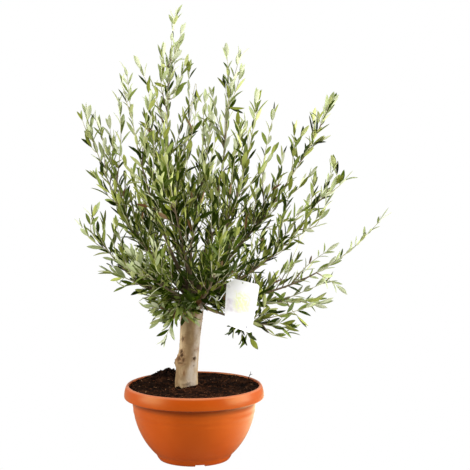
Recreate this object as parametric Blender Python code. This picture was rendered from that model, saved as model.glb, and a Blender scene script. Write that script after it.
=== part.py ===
"""Olive tree trained as a small standard, planted in a round bowl pot.

Metres, +Z up. The origin is the middle of the pot's underside, +X is to the right of the
front and +Y points to the back. The pot stands on the foot ring and a central pad at z = 0.

Each limb is one smooth curve from its seat on the trunk's head to the furthest tip of its
mass of foliage. The first stretch is the bough, and the rest is the stem of the mass. A
point of the crown belongs to the mass whose stem runs nearest, and nothing grows outside.
"""

import math
import random
from collections import namedtuple

import bmesh
import bpy
import numpy as np
from mathutils import Euler, Vector

# Touching pieces keep this gap
GAP = 0.0003

# The pot: a bowl with a deep upright rim that overhangs it, and a low notched foot
POT_TOP = 0.215
RIM_RADIUS = 0.200
RIM_MOUTH_RADIUS = 0.1865
RIM_BASE = 0.1765
RIM_UNDERSIDE_BASE = 0.170
BOWL_RADIUS = 0.1765
BOWL_DEPTH = 0.206
BOWL_CENTRE_HEIGHT = 0.178
WALL = 0.004
FLOOR_UNDERSIDE = 0.006
FLOOR_TOP = 0.012
FOOT_HEIGHT = 0.015
FOOT_TOP_RADIUS = 0.1085
FOOT_RADIUS = 0.101
FOOT_WIDTH = 0.009
PAD_RADIUS = 0.016
NOTCH_WIDTH = 0.028
NOTCH_COUNT = 4
FIRST_NOTCH = math.radians(-79)
POT_SIDES = 32

# The soil: filled almost to the brim, higher at the back, and heaped against the rim there
SOIL_LEVEL = 0.2075
SOIL_EDGE_LEVEL = 0.2095
SOIL_BACK_RISE = 0.0035
HEAP_RADIUS = 0.146
HEAP_ANGLE = math.radians(122)
HEAP_HEIGHT = 0.021
HEAP_SPREAD = 0.038
CRUMB = 0.0028
SOIL_RINGS = 5
SOIL_SIDE_GAP = 0.0026
TRUNK_PLOT_RADIUS = 0.066

# The trunk: height above the floor, radius, and where its axis stands in X
TRUNK_HEIGHTS = [0.2078, 0.216, 0.235, 0.268, 0.317, 0.383, 0.436, 0.468, 0.488, 0.502, 0.511]
TRUNK_RADII = [0.0365, 0.0338, 0.0320, 0.0305, 0.0288, 0.0298, 0.0322, 0.0318, 0.0285, 0.0210, 0.0095]
AXIS_HEIGHTS = [0.2078, 0.268, 0.317, 0.383, 0.436, 0.511]
AXIS_OFFSETS = [-0.0225, -0.0200, -0.0140, -0.0086, -0.0040, 0.0005]
TRUNK_SIDES = 16
TRUNK_LOBES = 0.035

# Burrs on the trunk: height, angle round the trunk, how far it stands out, how wide it is
Burr = namedtuple("Burr", "height angle rise spread")
BURRS = [
    Burr(0.292, math.radians(186), 0.0042, 0.014),
    Burr(0.226, math.radians(214), 0.0040, 0.013),
    Burr(0.222, math.radians(-42), 0.0036, 0.012),
]

# The crown's heart, from which the limbs' reach is measured
HEART = Vector((0.0, 0.0, 0.47))

# Each limb: height and direction of its seat, then the way and the distance from the heart to its
# furthest tip, and by how many degrees the tip stands steeper than a straight limb would
Limb = namedtuple("Limb", "name seat_height seat_angle angle tilt reach upturn radius")
LIMBS = [
    Limb("leader", 0.494, 180, 184, 4.0, 0.812, 13, 0.0100),
    Limb("upper_left", 0.486, 218, 199, 17, 0.700, 14, 0.0080),
    Limb("left", 0.476, 190, 173, 31, 0.640, 18, 0.0080),
    Limb("left_low", 0.461, 168, 187, 52, 0.410, 38, 0.0070),
    Limb("left_side", 0.456, 204, 199, 72, 0.300, 6, 0.0065),
    Limb("left_droop", 0.447, 222, 210, 118, 0.168, -8, 0.0055),
    Limb("upper_right", 0.492, 52, 27, 9, 0.732, 14, 0.0085),
    Limb("front_right", 0.484, 312, 332, 20, 0.628, 15, 0.0080),
    Limb("right", 0.486, 8, 5, 36, 0.710, 10, 0.0085),
    Limb("right_mid", 0.474, 338, 353, 48, 0.568, 28, 0.0075),
    Limb("far_right", 0.463, 8, 2, 68, 0.620, 30, 0.0075),
    Limb("right_side", 0.450, 30, 10, 94, 0.378, 6, 0.0065),
    Limb("right_droop", 0.447, 350, 346, 107, 0.325, 12, 0.0060),
    Limb("front_up", 0.486, 262, 252, 27, 0.570, 14, 0.0080),
    Limb("front_low", 0.449, 292, 287, 57, 0.400, 22, 0.0070),
    Limb("front_left", 0.466, 240, 232, 62, 0.345, 18, 0.0070),
    Limb("back_up", 0.486, 104, 78, 23, 0.612, 14, 0.0080),
    Limb("back_left", 0.474, 136, 128, 44, 0.478, 22, 0.0075),
    Limb("back_right", 0.466, 66, 52, 47, 0.486, 22, 0.0075),
    Limb("back_low", 0.449, 95, 95, 71, 0.350, 14, 0.0065),
]
BOUGH_SHARE = 0.20
BOUGH_LEAST = 0.060
BOUGH_END_RADIUS = 0.0046
BOUGH_SIDES = 7
SEAT_DEPTH = 0.014

# The stem of each mass and its side shoots, which bend up and shorten towards the stem's tip
STEM_RADIUS = 0.0040
STEM_RINGS = 8
TIP_RADIUS = 0.0011
FIRST_SHOOT = 0.012
LAST_SHOOT = 0.060
SHOOT_RADIUS = 0.0018
SHOOT_SPACING = 0.096
SHOOT_LENGTH = 0.185
SHOOT_SHORTENING = 0.6
SHOOT_ANGLE = 46
SHOOT_STEPS = 3
LEAST_SHOOT = 0.055
SIDES_TRIED = 3
GOLDEN_ANGLE = math.radians(137.5)
RISE = 0.30
FOLLOW_STEM = 0.10

# The leaves, in crossed pairs. Width and thickness are shares of a leaf's length
PAIR_SPACING = 0.084
PAIR_TWIST = 0.35
LEAF_LENGTH = 0.090
SHOOT_LEAF_SHARE = 0.92
SMALL_LEAF = 0.65
TIP_LEAF = 0.050
LEAF_SHORTENING = 0.35
LEAF_WIDTH = 0.24
LEAF_BROADEST = 0.45
LEAF_THICKNESS = 0.032
LEAF_ANGLE = 38
LEAF_LIFT = 0.12
LEAF_ROOT = 0.0022
BARE_STEM = 0.016
BARE_SHOOT = 0.030

# The space of a mass: clear of other pieces, and never further than this from its stem
CLEARANCE = 0.0035
SPACE_RADIUS = 0.20

# The label: a blank card on a strap that is looped round the trunk below the boughs. It hangs
# turned in its own plane, with its top leaning forward and its right side forward
LABEL_CENTRE = Vector((0.1315, -0.125, 0.4635))
LABEL_WIDTH = 0.098
LABEL_HEIGHT = 0.138
LABEL_THICKNESS = 0.0010
LABEL_TURN = math.radians(10)
LABEL_LEAN = math.radians(3.5)
LABEL_YAW = math.radians(32)
LABEL_POSE = Euler((LABEL_LEAN, LABEL_TURN, -LABEL_YAW), "YXZ").to_matrix()
LABEL_CORNER = 0.009
LABEL_CROP = (0.0235, 0.0200)
LABEL_MARGIN = 0.005
LABEL_SIGHT = Vector((0.0, 0.989, -0.149))
HOLE_RADIUS = 0.0030
HOLE_PLACE = (-0.0400, 0.0440)
STRAP_RADIUS = 0.0010
STRAP_HEIGHT = 0.4325
STRAP_START = math.radians(-45)
STRAP_SLOPE = 0.010
STRAP_PITCH = 0.0042
STRAP_CREST = Vector((0.052, -0.066, 0.478))
STRAP_DIP = Vector((0.0715, -0.082, 0.4690))
STRAP_EDGE = Vector((0.0850, -0.088, 0.4880))
STRAP_HOLE_RUN = 0.012
STRAP_HEAD_RADIUS = 0.0050
STRAP_HEAD_DEPTH = 0.0012


def clear_scene():
    for obj in list(bpy.data.objects):
        bpy.data.objects.remove(obj)


def material(name, colour, roughness, metallic=0.0):
    made = bpy.data.materials.new(name)
    made.use_nodes = True
    shader = made.node_tree.nodes["Principled BSDF"]
    shader.inputs["Base Color"].default_value = (*colour, 1.0)
    shader.inputs["Roughness"].default_value = roughness
    shader.inputs["Metallic"].default_value = metallic
    return made


def add_object(name, vertices, faces, finish=None):
    mesh = bpy.data.meshes.new(name)
    mesh.from_pydata([tuple(v) for v in vertices], [], faces)
    mesh.update()
    obj = bpy.data.objects.new(name, mesh)
    if finish:
        mesh.materials.append(finish)
    bpy.context.scene.collection.objects.link(obj)
    return obj


def shade_round(obj, angle=35):
    obj.data.shade_smooth()
    obj.data.set_sharp_from_angle(angle=math.radians(angle))


def apply_modifiers(obj):
    """Keeps the mesh that the object's modifiers make, without the modifiers."""
    graph = bpy.context.evaluated_depsgraph_get()
    made = bpy.data.meshes.new_from_object(obj.evaluated_get(graph))
    old = obj.data
    obj.modifiers.clear()
    obj.data = made
    bpy.data.meshes.remove(old)


def polar(angle, tilt):
    """Unit vector that leans `tilt` degrees from upright towards `angle` degrees from +X."""
    a, t = math.radians(angle), math.radians(tilt)
    return Vector((math.sin(t) * math.cos(a), math.sin(t) * math.sin(a), math.cos(t)))


def square_frame(along):
    """Two unit vectors square to `along`, the first of them level."""
    side = along.cross(Vector((0, 0, 1)))
    if side.length < 0.05:
        side = along.cross(Vector((0, 1, 0)))
    side.normalize()
    return side, side.cross(along).normalized()


class Path:
    """A polyline that can be read by its distance from the start."""

    def __init__(self, points):
        self.points = [Vector(p) for p in points]
        self.marks = [0.0]
        for a, b in zip(self.points, self.points[1:]):
            self.marks.append(self.marks[-1] + (b - a).length)
        self.length = self.marks[-1]

    def at(self, distance):
        distance = min(max(distance, 0.0), self.length)
        i = 1
        while i < len(self.marks) - 1 and self.marks[i] < distance:
            i += 1
        span = self.marks[i] - self.marks[i - 1]
        share = (distance - self.marks[i - 1]) / span
        return self.points[i - 1].lerp(self.points[i], share)

    def direction(self, distance):
        step = min(0.012, self.length / 4)
        low = max(distance - step, 0.0)
        high = min(distance + step, self.length)
        return (self.at(high) - self.at(low)).normalized()

    def stretch(self, start, end, count):
        return [self.at(start + (end - start) * i / (count - 1)) for i in range(count)]


def tube(points, radii, sides, closed_tip=False):
    """Vertices and faces of a tapering limb along the points, with a flat cap at its ends."""
    vertices, faces = [], []
    side = None
    for i, (point, radius) in enumerate(zip(points, radii)):
        before, after = points[max(i - 1, 0)], points[min(i + 1, len(points) - 1)]
        along = (after - before).normalized()
        if side is None:
            side, _ = square_frame(along)
        side = (side - along * side.dot(along)).normalized()
        up = side.cross(along)
        for k in range(sides):
            turn = 2 * math.pi * k / sides
            vertices.append(point + side * math.cos(turn) * radius - up * math.sin(turn) * radius)
    rings = len(points)
    for i in range(rings - 1):
        for k in range(sides):
            here, there = i * sides + k, i * sides + (k + 1) % sides
            faces.append((here, there, there + sides, here + sides))
    faces.append(tuple(reversed(range(sides))))
    last = (rings - 1) * sides
    if closed_tip:
        vertices.append(points[-1] + (points[-1] - points[-2]).normalized() * radii[-1])
        faces += [(last + k, last + (k + 1) % sides, len(vertices) - 1) for k in range(sides)]
    else:
        faces.append(tuple(range(last, last + sides)))
    return vertices, faces


def turned(profile, sides, name, finish):
    """A solid turned about Z from a closed profile of (radius, height) points."""
    vertices, faces, rings = [], [], []
    for radius, height in profile:
        if radius < 1e-6:
            rings.append([len(vertices)])
            vertices.append((0.0, 0.0, height))
            continue
        rings.append(list(range(len(vertices), len(vertices) + sides)))
        for k in range(sides):
            turn = 2 * math.pi * k / sides
            vertices.append((radius * math.cos(turn), radius * math.sin(turn), height))
    pairs = list(zip(rings, rings[1:]))
    if len(rings[0]) > 1:
        pairs.append((rings[-1], rings[0]))
    for low, high in pairs:
        for k in range(sides):
            n = (k + 1) % sides
            if len(low) == 1:
                faces.append((low[0], high[n], high[k]))
            elif len(high) == 1:
                faces.append((low[k], low[n], high[0]))
            else:
                faces.append((low[k], low[n], high[n], high[k]))
    return add_object(name, vertices, faces, finish)


def bowl_radius(height, inset=0.0):
    """Radius of the bowl's oval side at a height, or of the same side moved in by the inset."""
    drop = (BOWL_CENTRE_HEIGHT - height) / (BOWL_DEPTH - inset)
    return (BOWL_RADIUS - inset) * math.sqrt(max(0.0, 1 - drop * drop))


def pot_mouth_profile():
    """The inside of the pot from the floor to the top of the rim, as (radius, height)."""
    inside = [(bowl_radius(h, WALL), h) for h in (0.022, 0.050, 0.095, RIM_UNDERSIDE_BASE)]
    return [(bowl_radius(FLOOR_TOP, WALL), FLOOR_TOP), *inside, (RIM_MOUTH_RADIUS - 0.002, 0.190)]


def build_pot(finish):
    outside = [
        (0.0, 0.0),
        (PAD_RADIUS, 0.0),
        (PAD_RADIUS, FLOOR_UNDERSIDE),
        (FOOT_RADIUS - FOOT_WIDTH, FLOOR_UNDERSIDE),
        (FOOT_RADIUS - FOOT_WIDTH, 0.0),
        (FOOT_RADIUS, 0.0),
        (FOOT_TOP_RADIUS, FOOT_HEIGHT),
    ]
    outside += [(bowl_radius(h), h) for h in (0.0175, 0.033, 0.055, 0.085, 0.125)]
    outside.append((bowl_radius(RIM_UNDERSIDE_BASE), RIM_UNDERSIDE_BASE))
    rim = [
        (RIM_RADIUS - 0.0018, RIM_BASE),
        (RIM_RADIUS, RIM_BASE + 0.004),
        (RIM_RADIUS - 0.0006, RIM_BASE + 0.016),
        (RIM_RADIUS - 0.0036, POT_TOP - 0.009),
        (RIM_RADIUS - 0.0070, POT_TOP - 0.0015),
        (RIM_RADIUS - 0.0095, POT_TOP),
        (RIM_MOUTH_RADIUS + 0.0012, POT_TOP - 0.0005),
        (RIM_MOUTH_RADIUS, POT_TOP - 0.004),
    ]
    inside = list(reversed(pot_mouth_profile()))
    profile = [*outside, *rim, *inside, (0.0, FLOOR_TOP)]
    pot = turned(profile, POT_SIDES, "pot", finish)
    cut_notches(pot)
    shade_round(pot, 32)
    return pot


def cut_notches(pot):
    """Cuts the drain notches through the foot ring."""
    cutters = []
    for k in range(NOTCH_COUNT):
        turn = FIRST_NOTCH + 2 * math.pi * k / NOTCH_COUNT
        bpy.ops.mesh.primitive_cube_add(size=1)
        cutter = bpy.context.object
        cutter.name = f"notch_cutter_{k}"
        middle = FOOT_RADIUS - FOOT_WIDTH / 2
        cutter.location = (middle * math.cos(turn), middle * math.sin(turn), 0.0)
        cutter.rotation_euler = (0, 0, turn)
        cutter.scale = (3 * FOOT_WIDTH, NOTCH_WIDTH, 2 * (FLOOR_UNDERSIDE - GAP))
        cut = pot.modifiers.new(f"notch_{k}", "BOOLEAN")
        cut.operation = "DIFFERENCE"
        cut.object = cutter
        cutters.append(cutter)
    apply_modifiers(pot)
    for cutter in cutters:
        bpy.data.objects.remove(cutter)


def soil_edge(y):
    """The soil's level at the pot's wall, which is higher at the back."""
    return SOIL_EDGE_LEVEL + SOIL_BACK_RISE * y / RIM_MOUTH_RADIUS


def soil_height(x, y, rng):
    """The soil's surface, which rises a little to the pot's wall and is heaped at the back left."""
    share = math.hypot(x, y) / RIM_MOUTH_RADIUS
    level = SOIL_LEVEL + (soil_edge(y) - SOIL_LEVEL) * share**3
    heap_x = HEAP_RADIUS * math.cos(HEAP_ANGLE)
    heap_y = HEAP_RADIUS * math.sin(HEAP_ANGLE)
    off = math.hypot(x - heap_x, y - heap_y) / HEAP_SPREAD
    return level + HEAP_HEIGHT * math.exp(-off * off) + rng.uniform(-CRUMB, CRUMB)


def build_soil(finish):
    """The soil fills the pot up to its surface, and lies flat where the trunk stands on it."""
    rng = random.Random(11)
    wall = [(r - GAP * 2, h + GAP * 2) for r, h in pot_mouth_profile()]
    wall[0] = (wall[0][0], FLOOR_TOP + GAP)
    vertices = [(0.0, 0.0, FLOOR_TOP + GAP)]
    rings = []
    for radius, height in wall:
        rings.append([len(vertices) + k for k in range(POT_SIDES)])
        for k in range(POT_SIDES):
            turn = 2 * math.pi * k / POT_SIDES
            vertices.append((radius * math.cos(turn), radius * math.sin(turn), height))
    edge = RIM_MOUTH_RADIUS - SOIL_SIDE_GAP
    for i in range(SOIL_RINGS + 1):
        radius = edge + (TRUNK_PLOT_RADIUS - edge) * i / SOIL_RINGS
        rings.append([len(vertices) + k for k in range(POT_SIDES)])
        for k in range(POT_SIDES):
            turn = 2 * math.pi * k / POT_SIDES
            x, y = radius * math.cos(turn), radius * math.sin(turn)
            height = SOIL_LEVEL if i == SOIL_RINGS else soil_height(x, y, rng)
            vertices.append((x, y, height))
    faces = []
    for low, high in zip(rings, rings[1:]):
        for k in range(POT_SIDES):
            n = (k + 1) % POT_SIDES
            faces.append((low[k], low[n], high[n], high[k]))
    for k in range(POT_SIDES):
        faces.append((0, rings[0][(k + 1) % POT_SIDES], rings[0][k]))
    faces.append(tuple(rings[-1]))
    soil = add_object("soil", vertices, faces, finish)
    shade_round(soil, 40)
    return soil


def trunk_axis(height):
    return Vector((float(np.interp(height, AXIS_HEIGHTS, AXIS_OFFSETS)), 0.0, height))


def trunk_radius(height, angle=0.0):
    """Radius of the trunk's bark, with its slow lobes, which are deepest at the root flare."""
    radius = float(np.interp(height, TRUNK_HEIGHTS, TRUNK_RADII))
    flare = 1 + 1.4 * math.exp(-((height - TRUNK_HEIGHTS[0]) / 0.02) ** 2)
    wave = math.sin(3 * angle + 9 * height) + 0.6 * math.sin(5 * angle - 14 * height + 1.0)
    radius *= 1 + TRUNK_LOBES * 0.6 * flare * wave
    for burr in BURRS:
        turn = math.remainder(angle - burr.angle, 2 * math.pi) * radius
        off = ((height - burr.height) ** 2 + turn**2) / burr.spread**2
        radius += burr.rise * math.exp(-off)
    return radius


def trunk_shape(name, finish=None, grown=0.0):
    """The trunk, or the same shape grown outwards as a cutter for the boughs' seats."""
    rings = [*TRUNK_HEIGHTS[:4], 0.292, *TRUNK_HEIGHTS[4:]]
    vertices, faces = [], []
    for i, height in enumerate(rings):
        axis = trunk_axis(height)
        lift = grown if i == len(rings) - 1 else 0.0
        for k in range(TRUNK_SIDES):
            turn = 2 * math.pi * k / TRUNK_SIDES
            radius = trunk_radius(height, turn) + grown * 1.3
            vertices.append(axis + Vector((radius * math.cos(turn), radius * math.sin(turn), lift)))
    for i in range(len(rings) - 1):
        for k in range(TRUNK_SIDES):
            here, there = i * TRUNK_SIDES + k, i * TRUNK_SIDES + (k + 1) % TRUNK_SIDES
            faces.append((here, there, there + TRUNK_SIDES, here + TRUNK_SIDES))
    faces.append(tuple(reversed(range(TRUNK_SIDES))))
    last = (len(rings) - 1) * TRUNK_SIDES
    faces.append(tuple(range(last, last + TRUNK_SIDES)))
    trunk = add_object(name, vertices, faces, finish)
    shade_round(trunk, 50)
    return trunk


def limb_path(limb):
    """The whole limb as one smooth curve from inside the trunk to its furthest tip."""
    outwards = polar(limb.seat_angle, 90)
    depth = max(trunk_radius(limb.seat_height) - SEAT_DEPTH, 0.0)
    seat = trunk_axis(limb.seat_height) + outwards * depth
    if limb.name == "leader":
        seat = trunk_axis(limb.seat_height)
    tip = HEART + polar(limb.angle, limb.tilt) * (limb.reach - TIP_LEAF)
    chord = tip - seat
    leave_tilt = math.degrees(chord.angle(Vector((0, 0, 1)))) + limb.upturn
    leave = polar(limb.seat_angle, leave_tilt)
    arrive = polar(limb.angle, limb.tilt - limb.upturn)
    handle = chord.length * 0.34
    a, b = seat + leave * handle, tip - arrive * handle
    steps = 40
    points = []
    for i in range(steps + 1):
        t = i / steps
        u = 1 - t
        points.append(seat * u**3 + a * 3 * u * u * t + b * 3 * u * t * t + tip * t**3)
    return Path(points)


def bough_length(path):
    return max(path.length * BOUGH_SHARE, BOUGH_LEAST)


def build_bough(limb, path, finish, cutter):
    """One tapering bough, cut to the trunk's surface where it is seated."""
    length = bough_length(path)
    count = 6
    points = path.stretch(0.0, length, count)
    radii = []
    for i in range(count):
        share = i / (count - 1)
        radii.append(limb.radius + (BOUGH_END_RADIUS - limb.radius) * share**0.8)
    vertices, faces = tube(points, radii, BOUGH_SIDES)
    bough = add_object(f"bough_{limb.name}", vertices, faces, finish)
    cut = bough.modifiers.new("seat", "BOOLEAN")
    cut.operation = "DIFFERENCE"
    cut.object = cutter
    apply_modifiers(bough)
    shade_round(bough, 50)
    return bough


def distances(points, path_points):
    """Distance from each point to a polyline, as an array."""
    points = np.asarray(points, float).reshape(-1, 1, 3)
    line = np.asarray(path_points, float)
    starts, spans = line[:-1], np.diff(line, axis=0)
    along = ((points - starts) * spans).sum(2) / (spans**2).sum(1)
    feet = starts + np.clip(along, 0, 1)[:, :, None] * spans
    return np.sqrt(((points - feet) ** 2).sum(2)).min(1)


class Crown:
    """Where each mass may grow: nearest to its own stem, and clear of every limb and the label."""

    def __init__(self, paths, strap_points):
        self.stems, self.boughs = {}, {}
        for limb, path in paths.items():
            length = bough_length(path)
            self.stems[limb.name] = path.stretch(length, path.length, 9)
            self.boughs[limb.name] = (path.stretch(0.0, length, 7), limb.radius)
        heights = np.linspace(TRUNK_HEIGHTS[0], TRUNK_HEIGHTS[-1], 8)
        self.trunk = [trunk_axis(h) for h in heights]
        self.strap = strap_points

    def allows(self, name, points, own_bough=False):
        """Whether all the points lie in the space of that mass."""
        own = distances(points, self.stems[name])
        if own.max() > SPACE_RADIUS:
            return False
        for other, stem in self.stems.items():
            if other != name and (distances(points, stem) < own + 2 * CLEARANCE).any():
                return False
        for other, (bough, radius) in self.boughs.items():
            if own_bough and other == name:
                continue
            if (distances(points, bough) < radius + CLEARANCE).any():
                return False
        if (distances(points, self.trunk) < max(TRUNK_RADII) + 2 * CLEARANCE).any():
            return False
        if (distances(points, self.strap) < STRAP_RADIUS + CLEARANCE).any():
            return False
        if min(p[2] for p in points) < POT_TOP + HEAP_HEIGHT + CLEARANCE:
            return False
        return not any(in_front_of_label(p) for p in points)


def in_front_of_label(point):
    """The room that the label hangs in, and the clear view of it from the front."""
    across = LABEL_POSE.transposed()
    off = across @ (Vector(point) - LABEL_CENTRE)
    sight = across @ LABEL_SIGHT
    seen = off - sight * (off.y / sight.y)
    inside = abs(seen.x) < LABEL_WIDTH / 2 + LABEL_MARGIN and abs(seen.z) < LABEL_HEIGHT / 2 + LABEL_MARGIN
    return inside and off.y < LABEL_MARGIN


def leaf_shape(root, along, across, length):
    """A lance-shaped leaf with a flat underside and a raised midrib, widest below its middle."""
    side = (across - along * across.dot(along)).normalized()
    up = side.cross(along)
    broad = root + along * length * LEAF_BROADEST
    half = length * LEAF_WIDTH / 2
    rib = broad + up * length * LEAF_THICKNESS
    vertices = [root, root + along * length, broad + side * half, broad - side * half, rib]
    faces = [(0, 2, 4), (0, 4, 3), (0, 3, 2), (1, 4, 2), (1, 3, 4), (1, 2, 3)]
    return vertices, faces


def leaf_pairs(path, start, crown, name, turn, scale):
    """Leaves in crossed pairs along a twig, and one at its tip."""
    leaves = []
    lean = math.radians(LEAF_ANGLE)
    distance = start
    while distance < path.length - 0.3 * PAIR_SPACING:
        along = path.direction(distance)
        side, up = square_frame(along)
        late = distance / path.length
        length = LEAF_LENGTH * scale * (1 - LEAF_SHORTENING * late**3)
        for half in (0.0, math.pi):
            out = side * math.cos(turn + half) + up * math.sin(turn + half)
            way = along * math.cos(lean) + out * math.sin(lean) + Vector((0, 0, LEAF_LIFT))
            way.normalize()
            root = path.at(distance) - way * LEAF_ROOT
            for share in (1.0, SMALL_LEAF):
                shape = leaf_shape(root, way, way.cross(out), length * share)
                if crown.allows(name, shape[0][1:]):
                    leaves.append(shape)
                    break
        turn += math.pi / 2 + PAIR_TWIST
        distance += PAIR_SPACING
    along = path.direction(path.length)
    side, _ = square_frame(along)
    root = path.at(path.length) - along * LEAF_ROOT * 2
    shape = leaf_shape(root, along, side, TIP_LEAF + LEAF_ROOT * 2)
    if crown.allows(name, shape[0][2:]):
        leaves.append(shape)
    return leaves


def grow_shoot(limb, crown, stem_path, distance, number):
    """A side shoot, on the first side of the stem where there is room for it."""
    rng = random.Random(f"{limb.name} {number}")
    turn = GOLDEN_ANGLE * number + rng.uniform(-0.3, 0.3)
    lean = math.radians(SHOOT_ANGLE + rng.uniform(-8, 10))
    late = distance / stem_path.length
    length = SHOOT_LENGTH * (1 - SHOOT_SHORTENING * late) * rng.uniform(0.8, 1.1)
    for side_tried in range(SIDES_TRIED):
        way_out = turn + GOLDEN_ANGLE * side_tried
        shoot = shoot_path(limb, crown, stem_path, distance, way_out, lean, length)
        if shoot:
            return shoot
    return None


def shoot_path(limb, crown, stem_path, distance, turn, lean, length):
    """A shoot that leaves the stem, bends up towards the light and stays in its space."""
    along = stem_path.direction(distance)
    side, up = square_frame(along)
    out = side * math.cos(turn) + up * math.sin(turn)
    way = along * math.cos(lean) + out * math.sin(lean)
    points = [stem_path.at(distance)]
    for _ in range(SHOOT_STEPS):
        way = (way + Vector((0, 0, RISE)) + along * FOLLOW_STEM).normalized()
        following = points[-1] + way * length / SHOOT_STEPS
        if not crown.allows(limb.name, [points[-1].lerp(following, 0.6), following]):
            break
        points.append(following)
    path = Path(points) if len(points) > 1 else None
    return path if path and path.length >= LEAST_SHOOT else None


def fuse(base, shapes, name, finish):
    """Joins the shapes to the base as one closed solid, and drops any scrap that stays loose."""
    group = bpy.data.collections.new(f"{name}_pieces")
    bpy.context.scene.collection.children.link(group)
    pieces = []
    for i, (vertices, faces) in enumerate(shapes):
        piece = add_object(f"{name}_piece_{i}", vertices, faces)
        bpy.context.scene.collection.objects.unlink(piece)
        group.objects.link(piece)
        pieces.append(piece)
    join = base.modifiers.new("join", "BOOLEAN")
    join.operation = "UNION"
    join.operand_type = "COLLECTION"
    join.collection = group
    join.solver = "MANIFOLD"
    apply_modifiers(base)
    for piece in pieces:
        bpy.data.objects.remove(piece)
    bpy.data.collections.remove(group)
    drop_scraps(base)
    base.data.materials.clear()
    base.data.materials.append(finish)
    return base


def drop_scraps(obj):
    """Keeps the largest body of a mesh, where a body is faces that meet along edges."""
    mesh = bmesh.new()
    mesh.from_mesh(obj.data)
    left = set(mesh.faces)
    bodies = []
    while left:
        body, border = set(), [next(iter(left))]
        while border:
            face = border.pop()
            if face in body:
                continue
            body.add(face)
            border += [other for edge in face.edges for other in edge.link_faces]
        left -= body
        bodies.append(body)
    bodies.sort(key=len)
    loose = [face for body in bodies[:-1] for face in body]
    bmesh.ops.delete(mesh, geom=loose, context="FACES")
    mesh.to_mesh(obj.data)
    mesh.free()


def tapering(radius, count):
    return [radius + (TIP_RADIUS - radius) * i / (count - 1) for i in range(count)]


def build_mass(limb, path, crown, finish):
    """One mass of foliage: a stem that carries on from the bough, side shoots and leaves."""
    start = bough_length(path) + GAP
    stem_path = Path(path.stretch(start, path.length, 24))
    points = stem_path.stretch(0.0, stem_path.length, STEM_RINGS)
    points[1] = points[0] + path.direction(start) * (points[1] - points[0]).length
    radii = tapering(STEM_RADIUS, STEM_RINGS)
    vertices, faces = tube(points, radii, 3, closed_tip=True)
    base = add_object(f"mass_{limb.name}", vertices, faces)
    shapes = leaf_pairs(stem_path, BARE_STEM, crown, limb.name, 0.4, 1.0)
    distance, number = FIRST_SHOOT, 0
    while distance < stem_path.length - LAST_SHOOT:
        shoot = grow_shoot(limb, crown, stem_path, distance, number)
        if shoot:
            radii = tapering(SHOOT_RADIUS, len(shoot.points))
            shapes.append(tube(shoot.points, radii, 3, closed_tip=True))
            shapes += leaf_pairs(shoot, BARE_SHOOT, crown, limb.name, number * 0.9, SHOOT_LEAF_SHARE)
        distance += SHOOT_SPACING
        number += 1
    return fuse(base, shapes, base.name, finish)


def label_point(x, z, y=0.0):
    """A point of the card, from its place across and up the card and its distance behind it."""
    return LABEL_CENTRE + LABEL_POSE @ Vector((x, y, z))


def build_label(finish):
    """A card with rounded corners, one of them cropped, and a round hole below that one."""
    outline = []
    for sx, sz, first in ((1, 1, 0), (-1, 1, 90), (-1, -1, 180), (1, -1, 270)):
        if first == 90:
            outline.append((LABEL_CROP[0] - LABEL_WIDTH / 2, LABEL_HEIGHT / 2))
            outline.append((-LABEL_WIDTH / 2, LABEL_HEIGHT / 2 - LABEL_CROP[1]))
            continue
        cx = sx * (LABEL_WIDTH / 2 - LABEL_CORNER)
        cz = sz * (LABEL_HEIGHT / 2 - LABEL_CORNER)
        for step in range(4):
            turn = math.radians(first + 30 * step)
            outline.append((cx + LABEL_CORNER * math.cos(turn), cz + LABEL_CORNER * math.sin(turn)))
    half = LABEL_THICKNESS / 2
    count = len(outline)
    vertices = [label_point(x, z, y) for y in (-half, half) for x, z in outline]
    faces = [tuple(range(count)), tuple(reversed(range(count, 2 * count)))]
    for k in range(count):
        n = (k + 1) % count
        faces.append((n, k, k + count, n + count))
    label = add_object("label", vertices, faces, finish)
    ends = [label_point(*HOLE_PLACE, -0.004), label_point(*HOLE_PLACE, 0.004)]
    cutter = add_object("hole_cutter", *tube(ends, [HOLE_RADIUS] * 2, 12))
    cut = label.modifiers.new("hole", "BOOLEAN")
    cut.operation = "DIFFERENCE"
    cut.object = cutter
    apply_modifiers(label)
    bpy.data.objects.remove(cutter)
    return label


def strap_route():
    """One turn round the trunk, then over a crest, a dip and behind the card to its hole."""
    points = []
    steps = 14
    for i in range(steps + 1):
        share = i / steps
        turn = STRAP_START + 2 * math.pi * share * 1.02
        height = STRAP_HEIGHT - STRAP_SLOPE * (1 - math.cos(turn)) / 2 + STRAP_PITCH * share
        axis = trunk_axis(height)
        around = max(trunk_radius(height, turn + nudge) for nudge in (-0.2, -0.1, 0.0, 0.1, 0.2))
        radius = around + STRAP_RADIUS + GAP * 2 + 0.0012 * share
        points.append(axis + Vector((radius * math.cos(turn), radius * math.sin(turn), 0)))
    hole_back = label_point(*HOLE_PLACE, STRAP_HOLE_RUN)
    hole_front = label_point(*HOLE_PLACE, -LABEL_THICKNESS / 2 - GAP - STRAP_HEAD_DEPTH / 2)
    rise = points[-1].lerp(STRAP_CREST, 0.55) + Vector((0.004, 0.0, 0.006))
    return [*points, rise, STRAP_CREST, STRAP_DIP, STRAP_EDGE, hole_back, hole_front]


def smooth_route(points, per_span):
    """Points on a smooth curve through the given ones."""
    made = []
    for i in range(len(points) - 1):
        p0, p1, p2 = points[max(i - 1, 0)], points[i], points[i + 1]
        p3 = points[min(i + 2, len(points) - 1)]
        for k in range(per_span):
            t = k / per_span
            a = p1 * 2 + (p2 - p0) * t
            b = (p0 * 2 - p1 * 5 + p2 * 4 - p3) * t * t
            c = (p1 * 3 - p0 - p2 * 3 + p3) * t**3
            made.append((a + b + c) * 0.5)
    made.append(points[-1])
    return made


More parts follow.
